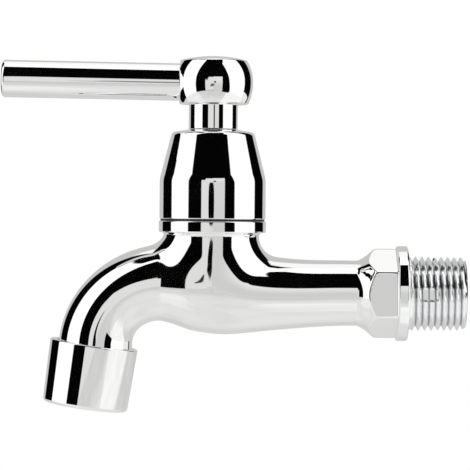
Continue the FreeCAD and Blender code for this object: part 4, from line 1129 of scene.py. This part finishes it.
def make_table():
    """The pale table top that the underside of the metal reflects; its glow paints uneven light
    and shade: bright patches, a darker back, a darker far part and a dark corner.
    """
    material, w, glow = glowing_material("table_top")
    place, reach, turn, _ = cylinder_place(w)
    before_tap = w.times(w.split(place)[1], -1.0)
    far = w.ramp(w.math("MAXIMUM", before_tap, reach), *TABLE_FAR)
    level = w.minus(TABLE_GLOW, w.times(far, TABLE_FADE))
    for first, last, soft, patch_glow in TABLE_PATCHES:
        patch = w.times(w.band(turn, first, last, soft), w.ramp(reach, *TABLE_PATCH_START))
        level = w.plus(level, w.times(patch, w.minus(patch_glow, level)))
    back = w.times(w.ramp(w.size(turn), 120, 132), w.ramp(reach, 0.06, 0.12))
    level = w.plus(level, w.times(back, w.minus(TABLE_BACK_GLOW, level)))
    clouds = w.ramp(noise(w, place, 22.0, 3.0), 0.3, 0.7, 0.95, 1.04)
    # Painted shade: one corner of the table's glow is made darker.
    dark_corner = w.times(w.band(turn, *DARK_CORNER_TURN, 1.0), w.ramp(reach, *DARK_CORNER_START))
    level = w.times(level, w.minus(1.0, dark_corner))
    w.feed(glow.inputs["Strength"], w.times(level, clouds))
    only_in_reflections(stage_mesh("table", material, ring_of(TABLE_REACH, TABLE_LEVEL)))


def make_world():
    """An even soft light for matt surfaces, and plain white behind everything."""
    world = bpy.data.worlds.new("studio")
    bpy.context.scene.world = world
    world.use_nodes = True
    world.node_tree.nodes.clear()
    w = Wiring(world.node_tree)
    height = w.split(w.node("ShaderNodeTexCoord").outputs["Generated"])[2]
    rays = w.node("ShaderNodeLightPath")
    soft = w.ramp(height, -0.6, 0.9, 0.72, 1.12)
    strength = w.first("ShaderNodeMix", {
        "Factor": rays.outputs["Is Camera Ray"], "A": soft, "B": 1.0})
    sky = w.first("ShaderNodeBackground", {"Color": (1.0, 1.0, 1.0, 1.0), "Strength": strength})
    w.node("ShaderNodeOutputWorld", {"Surface": sky})


FLOOR_LEVEL = -130.0
FLOOR_REACH = 420.0
FLOOR_GLOW = 0.3


def make_floor():
    """A round pale floor, which keeps the tap's shadow and is clear from below."""
    material, w, glow = glowing_material("pale_floor")
    rays = w.node("ShaderNodeLightPath")
    w.feed(glow.inputs["Strength"], w.times(rays.outputs["Is Camera Ray"], FLOOR_GLOW))
    diffuse = w.first("ShaderNodeBsdfDiffuse", {"Color": (0.80, 0.80, 0.795, 1.0)})
    both = w.first("ShaderNodeAddShader", {0: diffuse, 1: glow.outputs[0]})
    from_below = w.node("ShaderNodeNewGeometry").outputs["Backfacing"]
    clear = w.first("ShaderNodeBsdfTransparent")
    seen = w.first("ShaderNodeMixShader", {0: from_below, 1: both, 2: clear})
    w.feed(material.node_tree.nodes["Material Output"].inputs["Surface"], seen)
    rim = ring_of(FLOOR_REACH, FLOOR_LEVEL, (VALVE_X, 0.0), 96)
    stage_mesh("floor", material, rim).visible_glossy = False


CAMERA_PLACE = Vector((-0.0486, -0.65, 0.0240))
CAMERA_AIM = Vector((-0.0486, 0.0, 0.0161))
CAMERA_ROLL = radians(0.5)
CAMERA_LENS = 176.7


def make_camera():
    """The photograph's view: square on to the tap's side, slightly from above and rolled."""
    data = bpy.data.cameras.new("camera")
    data.lens = CAMERA_LENS
    data.sensor_width = 36.0
    data.clip_start, data.clip_end = 0.01, 20.0
    camera = new_object("camera", data)
    camera.location = CAMERA_PLACE
    look = (CAMERA_AIM - CAMERA_PLACE).to_track_quat("-Z", "Y")
    camera.rotation_mode = "QUATERNION"
    camera.rotation_quaternion = look @ Quaternion((0, 0, 1), CAMERA_ROLL)
    bpy.context.scene.camera = camera


make_cards()
make_table()
make_world()
make_floor()
make_camera()
bpy.context.scene.view_settings.view_transform = "Standard"
